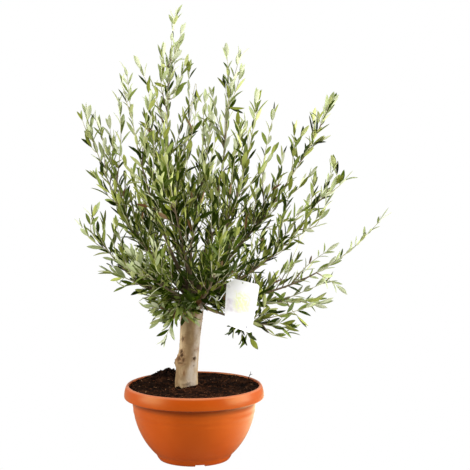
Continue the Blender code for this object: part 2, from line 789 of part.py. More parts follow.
def build_strap(points, finish):
    """The strap, which ends in a small round head on the front of the card."""
    vertices, faces = tube(points, [STRAP_RADIUS] * len(points), 5)
    strap = add_object("label_strap", vertices, faces, finish)
    behind = -LABEL_THICKNESS / 2 - GAP
    ends = [label_point(*HOLE_PLACE, behind - STRAP_HEAD_DEPTH), label_point(*HOLE_PLACE, behind)]
    head = tube(ends, [STRAP_HEAD_RADIUS] * 2, 10)
    return fuse(strap, [head], strap.name, finish)


def main():
    clear_scene()
    clay = material("orange_plastic", (0.62, 0.20, 0.065), 0.45)
    earth = material("potting_soil", (0.035, 0.018, 0.012), 0.95)
    bark = material("olive_bark", (0.42, 0.33, 0.23), 0.85)
    leaf = material("olive_leaf", (0.17, 0.22, 0.09), 0.55)
    card = material("white_card", (0.85, 0.85, 0.86), 0.5)
    build_pot(clay)
    build_soil(earth)
    trunk_shape("trunk", bark)
    cutter = trunk_shape("seat_cutter", grown=GAP)
    paths = {limb: limb_path(limb) for limb in LIMBS}
    strap_points = smooth_route(strap_route(), 2)
    crown = Crown(paths, strap_points)
    for limb, path in paths.items():
        build_bough(limb, path, bark, cutter)
    bpy.data.objects.remove(cutter)
    for limb, path in paths.items():
        build_mass(limb, path, crown, leaf)
    build_label(card)
    build_strap(strap_points, card)


main()
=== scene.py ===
"""Looks of a small olive tree in a round bowl pot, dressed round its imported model.

Metres, +Z up. The origin is under the middle of the pot, +X is to the right of the front and
+Y points to the back. Every piece is in place where it stands, in the model's own frame.
"""

import math
import random
from collections import namedtuple

import bmesh
import bpy
import numpy as np
from mathutils import Euler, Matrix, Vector, noise


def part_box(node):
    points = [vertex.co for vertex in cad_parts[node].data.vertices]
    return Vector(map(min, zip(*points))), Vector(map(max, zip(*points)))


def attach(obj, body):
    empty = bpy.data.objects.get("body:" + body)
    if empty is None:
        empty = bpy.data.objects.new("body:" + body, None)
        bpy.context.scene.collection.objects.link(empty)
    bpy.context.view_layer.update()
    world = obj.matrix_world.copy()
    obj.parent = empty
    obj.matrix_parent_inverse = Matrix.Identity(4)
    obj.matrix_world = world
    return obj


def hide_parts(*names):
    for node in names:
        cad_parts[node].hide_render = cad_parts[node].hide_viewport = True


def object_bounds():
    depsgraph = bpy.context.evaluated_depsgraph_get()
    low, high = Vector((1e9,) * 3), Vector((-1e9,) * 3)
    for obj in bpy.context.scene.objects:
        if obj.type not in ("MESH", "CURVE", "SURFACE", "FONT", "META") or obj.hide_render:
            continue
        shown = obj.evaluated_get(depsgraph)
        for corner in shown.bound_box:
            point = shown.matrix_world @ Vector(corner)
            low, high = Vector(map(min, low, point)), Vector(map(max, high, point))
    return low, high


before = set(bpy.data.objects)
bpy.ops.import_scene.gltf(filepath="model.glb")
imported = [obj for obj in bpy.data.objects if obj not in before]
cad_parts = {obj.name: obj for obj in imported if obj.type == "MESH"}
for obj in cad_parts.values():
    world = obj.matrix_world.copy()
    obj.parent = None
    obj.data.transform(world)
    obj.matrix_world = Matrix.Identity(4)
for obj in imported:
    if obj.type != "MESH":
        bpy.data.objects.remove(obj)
cad_low, cad_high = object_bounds()
scene = bpy.context.scene


# The studio. The plant stands on a white floor that runs back into a white background, between
# two large soft lights at its sides, the right one stronger, and under a broad overhead light.
# The camera is 4 m in front, a little below the top of the crown, and looks slightly down.
PHOTO_SIDE = 470
FOCAL_PIXELS = 1420
SENSOR_WIDTH = 36.0
CAMERA_PLACE = (0.117, -4.0, 1.047)
CAMERA_PITCH = math.radians(5.75)
LIGHT_TARGET = Vector((0.05, 0.0, 0.62))
WHITE = (1.0, 1.0, 1.0)
SKY_STRENGTH = 0.15
SKY_IN_GLOSS = 0.40
FLOOR_HALF = 14.0
FLOOR_GREY = (0.55, 0.55, 0.55)
FLOOR_GLOW = 0.28
GLEAM_COLOUR = (0.90, 1.0, 0.66)
RIGHT_GLEAM = 3.8
# A painted reflection: glossy rays see the floor as a glowing strip, brightest about 0.4 m right of the
# middle, that gleams in the plastic: places across it, and their shares of the right gleam.
GLEAM_SHARES = [(-0.40, 0.158), (-0.12, 0.021), (0.12, 0.021), (0.39, 1.0), (0.44, 0.95), (0.66, 0.25)]

scene.view_settings.view_transform = "Standard"
camera_data = bpy.data.cameras.new("camera")
camera_data.sensor_width = SENSOR_WIDTH
camera_data.lens = SENSOR_WIDTH * FOCAL_PIXELS / PHOTO_SIDE
camera = bpy.data.objects.new("camera", camera_data)
camera.location = CAMERA_PLACE
camera.rotation_euler = (math.pi / 2 - CAMERA_PITCH, 0.0, 0.0)
scene.collection.objects.link(camera)
scene.camera = camera


def soft_light(name, place, size, power):
    """A square soft light that faces the middle of the plant."""
    data = bpy.data.lights.new(name, "AREA")
    data.size = size
    data.energy = power
    lamp = bpy.data.objects.new(name, data)
    lamp.location = place
    lamp.rotation_euler = (LIGHT_TARGET - Vector(place)).to_track_quat("-Z", "Y").to_euler()
    scene.collection.objects.link(lamp)


soft_light("right_light", (2.50, -0.40, 1.05), size=1.9, power=137)
soft_light("left_light", (-2.42, -0.80, 1.10), size=1.8, power=95)
soft_light("top_light", (0.2, -1.3, 2.9), size=2.4, power=66)


def set_inputs(tree, node, values):
    """Links or sets a node's inputs, given by name or number. A colour is given without alpha."""
    for name, value in dict(values).items():
        if isinstance(value, bpy.types.NodeSocket):
            tree.links.new(value, node.inputs[name])
        else:
            node.inputs[name].default_value = (*value, 1.0) if isinstance(value, tuple) else value


def add_node(tree, kind, values=(), **settings):
    """A shader node with its settings and inputs."""
    node = tree.nodes.new(f"ShaderNode{kind}")
    for setting, value in settings.items():
        setattr(node, setting, value)
    set_inputs(tree, node, values)
    return node


def add_math(tree, operation, *values, **settings):
    """The result of a sum on sockets and numbers."""
    return add_node(tree, "Math", enumerate(values), operation=operation, **settings).outputs[0]


def mix_shaders(tree, share, first, second):
    """The first shader where the share is 0, and the second where it is 1."""
    return add_node(tree, "MixShader", enumerate((share, first, second))).outputs[0]


def object_axes(tree):
    """Sockets for the place on the object, along X, Y and Z."""
    return add_node(tree, "SeparateXYZ", {0: add_node(tree, "TexCoord").outputs["Object"]}).outputs


def blend_colours(tree, mask, stops):
    """A ramp that turns a mask into colours: (place, colour) stops. Returns its colour socket."""
    ramp = add_node(tree, "ValToRGB", {"Fac": mask})
    marks = ramp.color_ramp.elements
    for mark, (position, colour) in ((marks[0], stops[0]), (marks[1], stops[-1])):
        mark.position = position
        mark.color = (*colour, 1.0)
    for position, colour in stops[1:-1]:
        marks.new(position).color = (*colour, 1.0)
    return ramp.outputs["Color"]


sky = bpy.data.worlds.new("white_studio")
sky.use_nodes = True
scene.world = sky
sky_tree = sky.node_tree
ambient = sky_tree.nodes["Background"]
set_inputs(sky_tree, ambient, {"Color": WHITE, "Strength": SKY_STRENGTH})
backdrop = add_node(sky_tree, "Background", {"Color": WHITE, "Strength": 1.0})
ray = add_node(sky_tree, "LightPath").outputs
seen = add_math(sky_tree, "MULTIPLY_ADD", ray["Is Glossy Ray"], SKY_IN_GLOSS, ray["Is Camera Ray"])
sky_seen = mix_shaders(sky_tree, seen, ambient.outputs[0], backdrop.outputs[0])
set_inputs(sky_tree, sky_tree.nodes["World Output"], {"Surface": sky_seen})


def finish(name, colour, roughness, specular=0.5, others=()):
    """A material with one plain shader, whose other sockets can be set by name."""
    made = bpy.data.materials.new(name)
    made.use_nodes = True
    plain = {"Base Color": colour, "Roughness": roughness, "Specular IOR Level": specular}
    set_inputs(made.node_tree, made.node_tree.nodes["Principled BSDF"], {**plain, **dict(others)})
    return made


def make_piece(name, vertices, faces, finishes, sharp_angle=None):
    """A smooth mesh object that holds the vertices and faces, with its finishes in slots."""
    mesh = bpy.data.meshes.new(name)
    mesh.from_pydata([tuple(v) for v in vertices], [], faces)
    mesh.update()
    for one in finishes:
        mesh.materials.append(one)
    mesh.shade_smooth()
    if sharp_angle:
        mesh.set_sharp_from_angle(angle=math.radians(sharp_angle))
    made = bpy.data.objects.new(name, mesh)
    scene.collection.objects.link(made)
    return made


glow = {"Emission Color": WHITE, "Emission Strength": FLOOR_GLOW}
floor_finish = finish("studio_floor", FLOOR_GREY, roughness=0.9, specular=0.1, others=glow)
floor_tree = floor_finish.node_tree
floor_ray = add_node(floor_tree, "LightPath").outputs
plain_floor = floor_tree.nodes["Principled BSDF"].outputs["BSDF"]
bright_floor = add_node(floor_tree, "Emission").outputs["Emission"]
lit_floor = mix_shaders(floor_tree, floor_ray["Is Camera Ray"], plain_floor, bright_floor)
# Painted reflection: glossy rays see a glowing strip across the floor, not the lit floor.
across = add_math(floor_tree, "MULTIPLY_ADD", object_axes(floor_tree)["X"], 0.5, 0.5)
gleam_run = blend_colours(floor_tree, across, [((x + 1) / 2, (share,) * 3) for x, share in GLEAM_SHARES])
gleam_strength = add_math(floor_tree, "MULTIPLY", gleam_run, RIGHT_GLEAM)
gleam = add_node(floor_tree, "Emission", {"Color": GLEAM_COLOUR, "Strength": gleam_strength})
floor_seen = mix_shaders(floor_tree, floor_ray["Is Glossy Ray"], lit_floor, gleam.outputs["Emission"])
set_inputs(floor_tree, floor_tree.nodes["Material Output"], {"Surface": floor_seen})
floor_corners = [(x * FLOOR_HALF, y * FLOOR_HALF, 0) for x, y in ((-1, -1), (1, -1), (1, 1), (-1, 1))]
floor = make_piece("studio_floor", floor_corners, [(0, 1, 2, 3)], [floor_finish])


# The pot. A round bowl of satin orange plastic, injection moulded in one piece, with a deep
# upright rim that overhangs it, faint ripples under that where the wall has sunk, and a low foot
# ring cut by drain notches. It stands on the ring and on a pad in the middle.
_, pot_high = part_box("pot")
POT_TOP = pot_high.z
RIM_RADIUS = pot_high.x
MOUTH_RADIUS = 0.1865
RIM_BASE = 0.1795
BOWL_RADIUS = 0.1765
BOWL_DEPTH = 0.206
BOWL_CENTRE_HEIGHT = 0.178
BOWL_FOOT = 0.021
BOWL_END = 0.164
BOWL_TOP = 0.170
WALL = 0.004
INNER_HEIGHTS = (0.160, 0.120, 0.080, 0.045, 0.022)
FLOOR_UNDERSIDE = 0.006
FLOOR_TOP = 0.012
FOOT_HEIGHT = 0.015
FOOT_TOP_RADIUS = 0.1085
FOOT_RADIUS = 0.101
FOOT_INNER_RADIUS = 0.092
PAD_RADIUS = 0.016
NOTCH_WIDTH = 0.028
NOTCH_COUNT = 4
FIRST_NOTCH = math.radians(-79)
RIPPLE = 0.0005
RIPPLE_PITCH = 0.021
RIPPLE_MIDDLE = 0.140
RIPPLE_SPREAD = 0.022
RECESS_FOOT = 0.157
POT_SIDES = 160
BOWL_STEPS = 44
ORANGE = (0.35, 0.051, 0.0005)
ORANGE_CLOUDS = [
    (0.30, (0.346, 0.045, 0.0003)),
    (0.50, (0.370, 0.051, 0.0005)),
    (0.72, (0.396, 0.058, 0.0010)),
]
ORANGE_GLOSS = {
    "Specular Tint": (0.82, 0.80, 0.32),
    "Sheen Weight": 0.06,
    "Sheen Roughness": 0.35,
    "Sheen Tint": (1.0, 0.90, 0.56),
}
# Painted shade: a dark orange laid thickly in the recess under the rim and thinly over the whole rim.
PAINTED_SHADE_ORANGE = (0.115, 0.008, 0.0002)
# Painted highlight: a pale band along the round of the lip.
PAINTED_LIP_HIGHLIGHT = (0.560, 0.240, 0.130)


def bowl_radius(height, inset=0.0):
    """Radius of the bowl's oval side at a height, or of the same side moved in by the inset."""
    drop = (BOWL_CENTRE_HEIGHT - height) / (BOWL_DEPTH - inset)
    return (BOWL_RADIUS - inset) * math.sqrt(max(0.0, 1 - drop * drop))


def ripple(height):
    """How far the wall stands out in the faint ripples under the rim."""
    window = math.exp(-((height - RIPPLE_MIDDLE) / RIPPLE_SPREAD) ** 2)
    return RIPPLE * window * math.cos(2 * math.pi * (height - RIPPLE_MIDDLE) / RIPPLE_PITCH)


def rounded(points, passes):
    """A line with its corners cut again and again until they are round."""
    for _ in range(passes):
        cut = [points[0]]
        for (a, b), (c, d) in zip(points, points[1:]):
            cut += [(a * 0.75 + c * 0.25, b * 0.75 + d * 0.25), (a * 0.25 + c * 0.75, b * 0.25 + d * 0.75)]
        points = [*cut, points[-1]]
    return points


def on_circle(radius, turn):
    """The place at an angle on a circle round the origin."""
    return radius * math.cos(turn), radius * math.sin(turn)


def turned(profile, sides):
    """Vertices and faces of a closed solid turned about Z from (radius, height) points."""
    vertices, faces, rings = [], [], []
    for radius, height in profile:
        if radius < 1e-6:
            rings.append([len(vertices)])
            vertices.append((0.0, 0.0, height))
            continue
        rings.append(list(range(len(vertices), len(vertices) + sides)))
        vertices += [(*on_circle(radius, 2 * math.pi * k / sides), height) for k in range(sides)]
    for low, high in zip(rings, rings[1:]):
        for k in range(sides):
            n = (k + 1) % sides
            if len(low) == 1:
                faces.append((low[0], high[n], high[k]))
            elif len(high) == 1:
                faces.append((low[k], low[n], high[0]))
            else:
                faces.append((low[k], low[n], high[n], high[k]))
    return vertices, faces


pad_line = [
    (0.0, 0.0),
    (PAD_RADIUS - 0.001, 0.0),
    (PAD_RADIUS, 0.001),
    (PAD_RADIUS, FLOOR_UNDERSIDE - 0.001),
]
foot_line = rounded([
    (PAD_RADIUS + 0.002, FLOOR_UNDERSIDE),
    (FOOT_INNER_RADIUS, FLOOR_UNDERSIDE),
    (FOOT_INNER_RADIUS, 0.0),
    (FOOT_RADIUS, 0.0),
    (FOOT_TOP_RADIUS - 0.0012, FOOT_HEIGHT * 0.75),
    (FOOT_TOP_RADIUS + 0.0002, FOOT_HEIGHT),
    (bowl_radius(0.020), 0.020),
], 3)
bowl_heights = [BOWL_FOOT + (BOWL_END - BOWL_FOOT) * step / (BOWL_STEPS - 1) for step in range(BOWL_STEPS)]
bowl_line = [(bowl_radius(h) + ripple(h), h) for h in bowl_heights]
rim_line = rounded([
    (bowl_radius(BOWL_TOP - 0.004), BOWL_TOP - 0.004),
    (bowl_radius(BOWL_TOP), BOWL_TOP),
    (bowl_radius(BOWL_TOP) + 0.0040, RIM_BASE - 0.0045),
    (RIM_RADIUS - 0.0080, RIM_BASE - 0.0010),
    (RIM_RADIUS - 0.0022, RIM_BASE),
    (RIM_RADIUS - 0.0003, RIM_BASE + 0.0014),
    (RIM_RADIUS, RIM_BASE + 0.0050),
    (RIM_RADIUS - 0.0004, RIM_BASE + 0.0135),
    (RIM_RADIUS - 0.0020, POT_TOP - 0.0140),
    (RIM_RADIUS - 0.0046, POT_TOP - 0.0054),
    (RIM_RADIUS - 0.0070, POT_TOP - 0.0013),
    (RIM_RADIUS - 0.0098, POT_TOP + 0.0002),
    (MOUTH_RADIUS + 0.0014, POT_TOP),
    (MOUTH_RADIUS + 0.0001, POT_TOP - 0.0014),
    (MOUTH_RADIUS - 0.0006, POT_TOP - 0.0060),
    (MOUTH_RADIUS - 0.0020, POT_TOP - 0.0250),
], 2)
inner_line = [(bowl_radius(h, WALL), h) for h in (*INNER_HEIGHTS, FLOOR_TOP)]
pot_profile = [*pad_line, *foot_line, *bowl_line, *rim_line, *inner_line, (0.0, FLOOR_TOP)]


# Plastic, card and bark all show a faint cloudiness and a fine grain where they are moulded,
# printed or weathered. One group makes both, at the scale each asks for.
grain = bpy.data.node_groups.new("cloud_and_grain", "ShaderNodeTree")
for name, value in (("Cloud Scale", 6.0), ("Grain Scale", 400.0), ("Stretch", 1.0)):
    asked_value = grain.interface.new_socket(name, in_out="INPUT", socket_type="NodeSocketFloat")
    asked_value.default_value = value
for name in ("Cloud", "Grain"):
    grain.interface.new_socket(name, in_out="OUTPUT", socket_type="NodeSocketFloat")
asked = grain.nodes.new("NodeGroupInput").outputs
given = grain.nodes.new("NodeGroupOutput")
upright = add_node(grain, "CombineXYZ", {"X": 1.0, "Y": 1.0, "Z": asked["Stretch"]}).outputs["Vector"]
place = add_node(grain, "TexCoord").outputs["Object"]
stretched = add_node(grain, "VectorMath", {0: place, 1: upright}, operation="MULTIPLY").outputs["Vector"]
for name, detail in (("Cloud", 4.0), ("Grain", 2.0)):
    values = {"Vector": stretched, "Scale": asked[f"{name} Scale"], "Detail": detail}
    set_inputs(grain, given, {name: add_node(grain, "TexNoise", values).outputs["Fac"]})


def place_grain(tree, cloud_scale, grain_scale, stretch=1.0):
    """The cloud-and-grain group set in a material, at its own scales. Returns its outputs."""
    values = {"Cloud Scale": cloud_scale, "Grain Scale": grain_scale, "Stretch": stretch}
    return add_node(tree, "Group", values, node_tree=grain).outputs


def lay_colours(tree, colour, layers):
    """A colour with (mask, colour) layers over it, each of which shows where its mask is 1."""
    for mask, over in layers:
        mixed = add_node(tree, "Mix", {"Factor": mask, "A": colour, "B": over}, data_type="RGBA")
        colour = mixed.outputs["Result"]
    return colour


def map_range(tree, value, low, high, to_low, to_high):
    """A value moved from one range to another, kept inside it."""
    values = {"Value": value, "From Min": low, "From Max": high, "To Min": to_low, "To Max": to_high}
    return add_node(tree, "MapRange", values).outputs["Result"]


def feed(tree, socket, value):
    """Links a value, colour or normal to one of the shader's sockets."""
    set_inputs(tree, tree.nodes["Principled BSDF"], {socket: value})


def set_bump(tree, height, distance, strength):
    """Fine relief on the material's shader."""
    bump = add_node(tree, "Bump", {"Strength": strength, "Distance": distance, "Height": height})
    feed(tree, "Normal", bump.outputs["Normal"])


orange_plastic = finish("orange_plastic", ORANGE, roughness=0.38, specular=0.32, others=ORANGE_GLOSS)
pot_tree = orange_plastic.node_tree
pot_grain = place_grain(pot_tree, cloud_scale=9.0, grain_scale=900.0)
up_pot = object_axes(pot_tree)["Z"]
# Painted shade in the recess under the rim, and a thin painted shade over the rim that makes it darker.
recess_shade = map_range(pot_tree, up_pot, RECESS_FOOT, BOWL_TOP - 0.001, 0.0, 0.72)
on_rim = map_range(pot_tree, up_pot, RIM_BASE - 0.002, RIM_BASE, 0.0, 1.0)
feed(pot_tree, "Base Color", lay_colours(
    pot_tree,
    blend_colours(pot_tree, pot_grain["Cloud"], ORANGE_CLOUDS),
    [
        (map_range(pot_tree, up_pot, RIM_BASE - 0.002, RIM_BASE, 0.0, 0.17), PAINTED_SHADE_ORANGE),
        # Painted highlight along the lip.
        (map_range(pot_tree, up_pot, POT_TOP - 0.0060, POT_TOP - 0.0010, 0.0, 0.40), PAINTED_LIP_HIGHLIGHT),
        (add_math(pot_tree, "SUBTRACT", recess_shade, on_rim, use_clamp=True), PAINTED_SHADE_ORANGE),
    ],
))
feed(pot_tree, "Roughness", map_range(pot_tree, pot_grain["Cloud"], 0.3, 0.7, 0.33, 0.43))
set_bump(pot_tree, pot_grain["Grain"], distance=0.0002, strength=0.25)


def apply_modifiers(obj):
    """Keeps the mesh that the object's modifiers make, without the modifiers."""
    graph = bpy.context.evaluated_depsgraph_get()
    made = bpy.data.meshes.new_from_object(obj.evaluated_get(graph))
    obj.modifiers.clear()
    obj.data = made


def cut_out(obj, cutters):
    """Cuts the cutters out of the object, and takes them away."""
    for cutter in cutters:
        cut = obj.modifiers.new(cutter.name, "BOOLEAN")
        cut.operation = "DIFFERENCE"
        cut.object = cutter
    apply_modifiers(obj)
    for cutter in cutters:
        bpy.data.objects.remove(cutter)


pot = make_piece("bowl_pot", *turned(pot_profile, POT_SIDES), [orange_plastic])
notch_cutters = []
for k in range(NOTCH_COUNT):
    turn = FIRST_NOTCH + 2 * math.pi * k / NOTCH_COUNT
    bpy.ops.mesh.primitive_cube_add(size=1)
    cutter = bpy.context.object
    cutter.location = (*on_circle((FOOT_RADIUS + FOOT_INNER_RADIUS) / 2, turn), 0.0)
    cutter.rotation_euler = (0, 0, turn)
    cutter.scale = (3 * (FOOT_RADIUS - FOOT_INNER_RADIUS), NOTCH_WIDTH, 2 * FLOOR_UNDERSIDE - 0.0008)
    notch_cutters.append(cutter)
cut_out(pot, notch_cutters)
pot.data.shade_smooth()
pot.data.set_sharp_from_angle(angle=math.radians(38))
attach(pot, "root")
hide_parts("pot")


# The soil. Dark moist compost of peat and bark fines, pressed in to just under the rim and
# heaped behind the trunk on the left. Its surface is crumbs and lumps, with loose ones on top,
# slivers of bark, and one dead wisp that stands up at the right edge.
SOIL_LEVEL = 0.2080
SOIL_EDGE_LEVEL = 0.2105
SOIL_BACK_RISE = 0.0035
SOIL_RADIUS = MOUTH_RADIUS - 0.0012
SOIL_SINK = 0.0015
HEAP_X, HEAP_Y = on_circle(0.146, math.radians(122))
HEAP_HEIGHT = 0.023
HEAP_SPREAD = 0.037
LUMP_SCALE = 70
CRUMB_SCALE = 260
CRUMB_RELIEF = 0.0046
BANK_RELIEF = 0.0082
BANK_SPREAD = 0.012
BANK_ANGLE = math.radians(-35)
SKIRT = 0.90
SKIRT_FOOT = 0.165
SOIL_RINGS = 66
SOIL_SIDES = 320
CRUMB_COUNT = 2600
CRUMB_SIZES = (0.0009, 0.0030)
CLOD_COUNT = 46
CLOD_SIZES = (0.0034, 0.0078)
CLOD_SCATTER = (0.026, 0.016)
FOOT_CRUMBS = 84
FOOT_CRUMB_SIZES = (0.0012, 0.0024)
SLIVER_COUNT = 260
SLIVER_SIZES = (0.0007, 0.0015)
SLIVER_STRETCH = (2.5, 5)
FIBRE_COUNT = 36
FIBRE_SIZES = (0.0005, 0.0010)
FIBRE_STRETCH = (3, 7)
COMPOST = (0.016, 0.006, 0.003)
COMPOST_CLOUDS = [
    (0.36, (0.0050, 0.0022, 0.0012)),
    (0.52, (0.0160, 0.0062, 0.0030)),
    (0.68, (0.0520, 0.0200, 0.0085)),
]
BARK_FINES = (0.095, 0.032, 0.013)
PALE_FIBRE = (0.300, 0.165, 0.085)
WISP_FOOT = (0.1565, 0.088)
WISP_STEPS = [
    (0, 0, 0),
    (0.0005, 0, 0.007),
    (0.003, -0.001, 0.014),
    (0.006, -0.001, 0.020),
    (0.0065, 0, 0.026),
]
WISP_RADII = [0.0012, 0.0011, 0.0010, 0.0008, 0.0005]
FORK_STEPS = [(0, 0, 0), (0.0045, 0.001, 0.003), (0.0085, 0.001, 0.0035)]
FORK_RADII = [0.0009, 0.0007, 0.0004]
TRUNK_FOOT = Vector((-0.0225, 0.0, 0.2078))
TRUNK_RADII = [0.0332, 0.0318, 0.0311, 0.0305, 0.0288, 0.0298, 0.0322, 0.0318, 0.0285, 0.0210, 0.0095]


def heap_share(x, y):
    """How much of the heap's height stands at a place."""
    return math.exp(-((x - HEAP_X) ** 2 + (y - HEAP_Y) ** 2) / HEAP_SPREAD**2)


def from_trunk(x, y):
    """How far a place on the soil is from the trunk's bark."""
    return math.hypot(x - TRUNK_FOOT.x, y) - TRUNK_RADII[0]


def soil_height(x, y):
    """The surface without its loose crumbs: heap, bank round the trunk, lumps and fine crumbs."""
    edge = SOIL_EDGE_LEVEL + SOIL_BACK_RISE * y / SOIL_RADIUS
    level = SOIL_LEVEL + (edge - SOIL_LEVEL) * (math.hypot(x, y) / SOIL_RADIUS) ** 3
    heap = heap_share(x, y)
    lumps = noise.fractal(Vector((x, y, 0.0)) * LUMP_SCALE, 0.9, 2.1, 4)
    crumbs = noise.fractal(Vector((x, y, 3.0)) * CRUMB_SCALE, 0.7, 2.1, 3)
    piled = max(math.cos(math.atan2(y, x - TRUNK_FOOT.x) - BANK_ANGLE), 0.0) ** 2
    uneven = 0.4 * max(noise.noise(Vector((x, y, 7.0)) * 85), 0.0)
    bank = math.exp(-((from_trunk(x, y) / BANK_SPREAD) ** 2)) * (piled + uneven)
    rough = CRUMB_RELIEF * (0.50 + 1.1 * heap) * (0.75 * lumps + 0.40 * crumbs)
    return level - SOIL_SINK + HEAP_HEIGHT * heap + BANK_RELIEF * bank + rough


soil_vertices = [(0.0, 0.0, soil_height(0.0, 0.0))]
for ring in range(1, SOIL_RINGS + 1):
    for k in range(SOIL_SIDES):
        turn = 2 * math.pi * (k + 0.5 * (ring % 2)) / SOIL_SIDES
        x, y = on_circle(SOIL_RADIUS * ring / SOIL_RINGS, turn)
        soil_vertices.append((x, y, soil_height(x, y)))
skirt = len(soil_vertices)
last = skirt - SOIL_SIDES
soil_vertices += [(x * SKIRT, y * SKIRT, SKIRT_FOOT) for x, y, _ in soil_vertices[last:]]
soil_vertices.append((0.0, 0.0, SKIRT_FOOT))

neighbours = [(k, (k + 1) % SOIL_SIDES) for k in range(SOIL_SIDES)]
soil_faces = [(0, 1 + k, 1 + n) for k, n in neighbours]
for low in range(1, last, SOIL_SIDES):
    high = low + SOIL_SIDES
    soil_faces += [(low + k, high + k, high + n, low + n) for k, n in neighbours]
for k, n in neighbours:
    soil_faces.append((last + k, skirt + k, skirt + n, last + n))
    soil_faces.append((skirt + k, skirt + SOIL_SIDES, skirt + n))

compost = finish("potting_compost", COMPOST, roughness=0.95, specular=0.05)
soil_tree = compost.node_tree
soil_grain = place_grain(soil_tree, cloud_scale=55.0, grain_scale=700.0)
feed(soil_tree, "Base Color", blend_colours(soil_tree, soil_grain["Cloud"], COMPOST_CLOUDS))
set_bump(soil_tree, soil_grain["Grain"], distance=0.0012, strength=0.9)
soil = make_piece("soil_surface", soil_vertices, soil_faces, [compost])
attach(soil, "root")
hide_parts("soil")

crumb_rng = random.Random(5)


def lump(x, y, lift, size, stretch=1.0):
    """A loose crumb: an uneven eight-cornered lump, or a long flat one when it is stretched."""
    centre = Vector((x, y, soil_height(x, y) + lift))
    turn, lean = crumb_rng.uniform(0, 2 * math.pi), crumb_rng.uniform(-0.5, 0.5)
    along = Vector((*on_circle(math.cos(lean), turn), math.sin(lean)))
    side = along.cross(Vector((0, 0, 1))).normalized()
    up = side.cross(along)
    corners = []
    for end in (-1, 1):
        for k in range(4):
            around = math.pi / 2 * k + crumb_rng.uniform(-0.3, 0.3)
            reach = size * crumb_rng.uniform(0.6, 1.0)
            spot = side * math.cos(around) * reach + up * math.sin(around) * reach * 0.7
            corners.append(centre + along * end * size * stretch * crumb_rng.uniform(0.5, 0.9) + spot)
    faces = [(0, 1, 5, 4), (1, 2, 6, 5), (2, 3, 7, 6), (3, 0, 4, 7), (3, 2, 1, 0), (4, 5, 6, 7)]
    return corners, faces


def gather(shapes):
    """Many (vertices, faces) shapes as one list of each."""
    vertices, faces = [], []
    for some, those in shapes:
        start = len(vertices)
        vertices += some
        faces += [tuple(start + i for i in face) for face in those]
    return vertices, faces


def square_frame(along):
    """Two unit vectors square to a direction, the first of them level."""
    side = along.cross(Vector((0, 0, 1)))
    if side.length < 0.05:
        side = along.cross(Vector((0, 1, 0)))
    side.normalize()
    return side, side.cross(along).normalized()


def wall(start, sides):
    """Faces between the ring of vertices that begins at `start` and the next ring."""
    faces = []
    for k in range(sides):
        here, there = start + k, start + (k + 1) % sides
        faces.append((here, there, there + sides, here + sides))
    return faces


def tube(points, radii, sides):
    """Vertices and faces of a closed tapering tube that ends in a point at its tip."""
    vertices, faces = [], []
    side = None
    for i, (point, radius) in enumerate(zip(points, radii)):
        along = (points[min(i + 1, len(points) - 1)] - points[max(i - 1, 0)]).normalized()
        if side is None:
            side, _ = square_frame(along)
        side = (side - along * side.dot(along)).normalized()
        up = side.cross(along)
        for k in range(sides):
            turn = 2 * math.pi * k / sides
            vertices.append(point + side * math.cos(turn) * radius - up * math.sin(turn) * radius)
    last_ring = (len(points) - 1) * sides
    for start in range(0, last_ring, sides):
        faces += wall(start, sides)
    faces.append(tuple(reversed(range(sides))))
    vertices.append(points[-1] + (points[-1] - points[-2]).normalized() * radii[-1])
    faces += [(last_ring + k, last_ring + (k + 1) % sides, len(vertices) - 1) for k in range(sides)]
    return vertices, faces


def spot_on_soil(reach=SOIL_RADIUS):
    """A random place on the soil: its distance from the middle, x and y."""
    turn, radius = crumb_rng.uniform(0, 2 * math.pi), reach * math.sqrt(crumb_rng.random())
    return radius, *on_circle(radius, turn)


def spot_by_trunk(turn, least, most):
    """A random place at an angle round the trunk and a small distance from its bark."""
    x, y = on_circle(TRUNK_RADII[0] + crumb_rng.uniform(least, most), turn)
    return TRUNK_FOOT.x + x, y


crumbs, slivers, fibres = [], [], []
while len(crumbs) < CRUMB_COUNT:
    radius, x, y = spot_on_soil()
    heap = heap_share(x, y)
    size = crumb_rng.uniform(*CRUMB_SIZES) * (1 + 1.5 * heap * crumb_rng.random())
    if radius <= SOIL_RADIUS - size and from_trunk(x, y) >= 0:
        crumbs.append(lump(x, y, size * 0.35, size))
for _ in range(CLOD_COUNT):
    x = HEAP_X + crumb_rng.gauss(0.0, CLOD_SCATTER[0])
    y = HEAP_Y + crumb_rng.gauss(0.0, CLOD_SCATTER[1])
    size = crumb_rng.uniform(*CLOD_SIZES)
    if math.hypot(x, y) < SOIL_RADIUS - 1.2 * size:
        crumbs.append(lump(x, y, size * 0.3, size))
for order in range(FOOT_CRUMBS):
    turn = 2 * math.pi * order / FOOT_CRUMBS
    uneven = max(math.sin(3 * turn + 2.0) * math.sin(5 * turn), 0.0)
    size = crumb_rng.uniform(*FOOT_CRUMB_SIZES) + 0.0034 * uneven
    crumbs.append(lump(*spot_by_trunk(turn, 0.001, 0.006), size * 0.8, size))
while len(slivers) < SLIVER_COUNT:
    _, x, y = spot_on_soil()
    if len(slivers) < SLIVER_COUNT // 5:
        x, y = spot_by_trunk(crumb_rng.uniform(-2.7, -0.4), 0.0, 0.014)
    size = crumb_rng.uniform(*SLIVER_SIZES)
    if math.hypot(x, y) <= SOIL_RADIUS - 5 * size and from_trunk(x, y) >= 0:
        slivers.append(lump(x, y, 0.0014, size, crumb_rng.uniform(*SLIVER_STRETCH)))
while len(fibres) < FIBRE_COUNT:
    _, x, y = spot_on_soil(SOIL_RADIUS - 0.006)
    if from_trunk(x, y) > 0.004:
        fibres.append(lump(x, y, 0.0016, crumb_rng.uniform(*FIBRE_SIZES), crumb_rng.uniform(*FIBRE_STRETCH)))
wisp_foot = Vector((*WISP_FOOT, soil_height(*WISP_FOOT) - 0.002))
wisp_points = [wisp_foot + Vector(step) for step in WISP_STEPS]
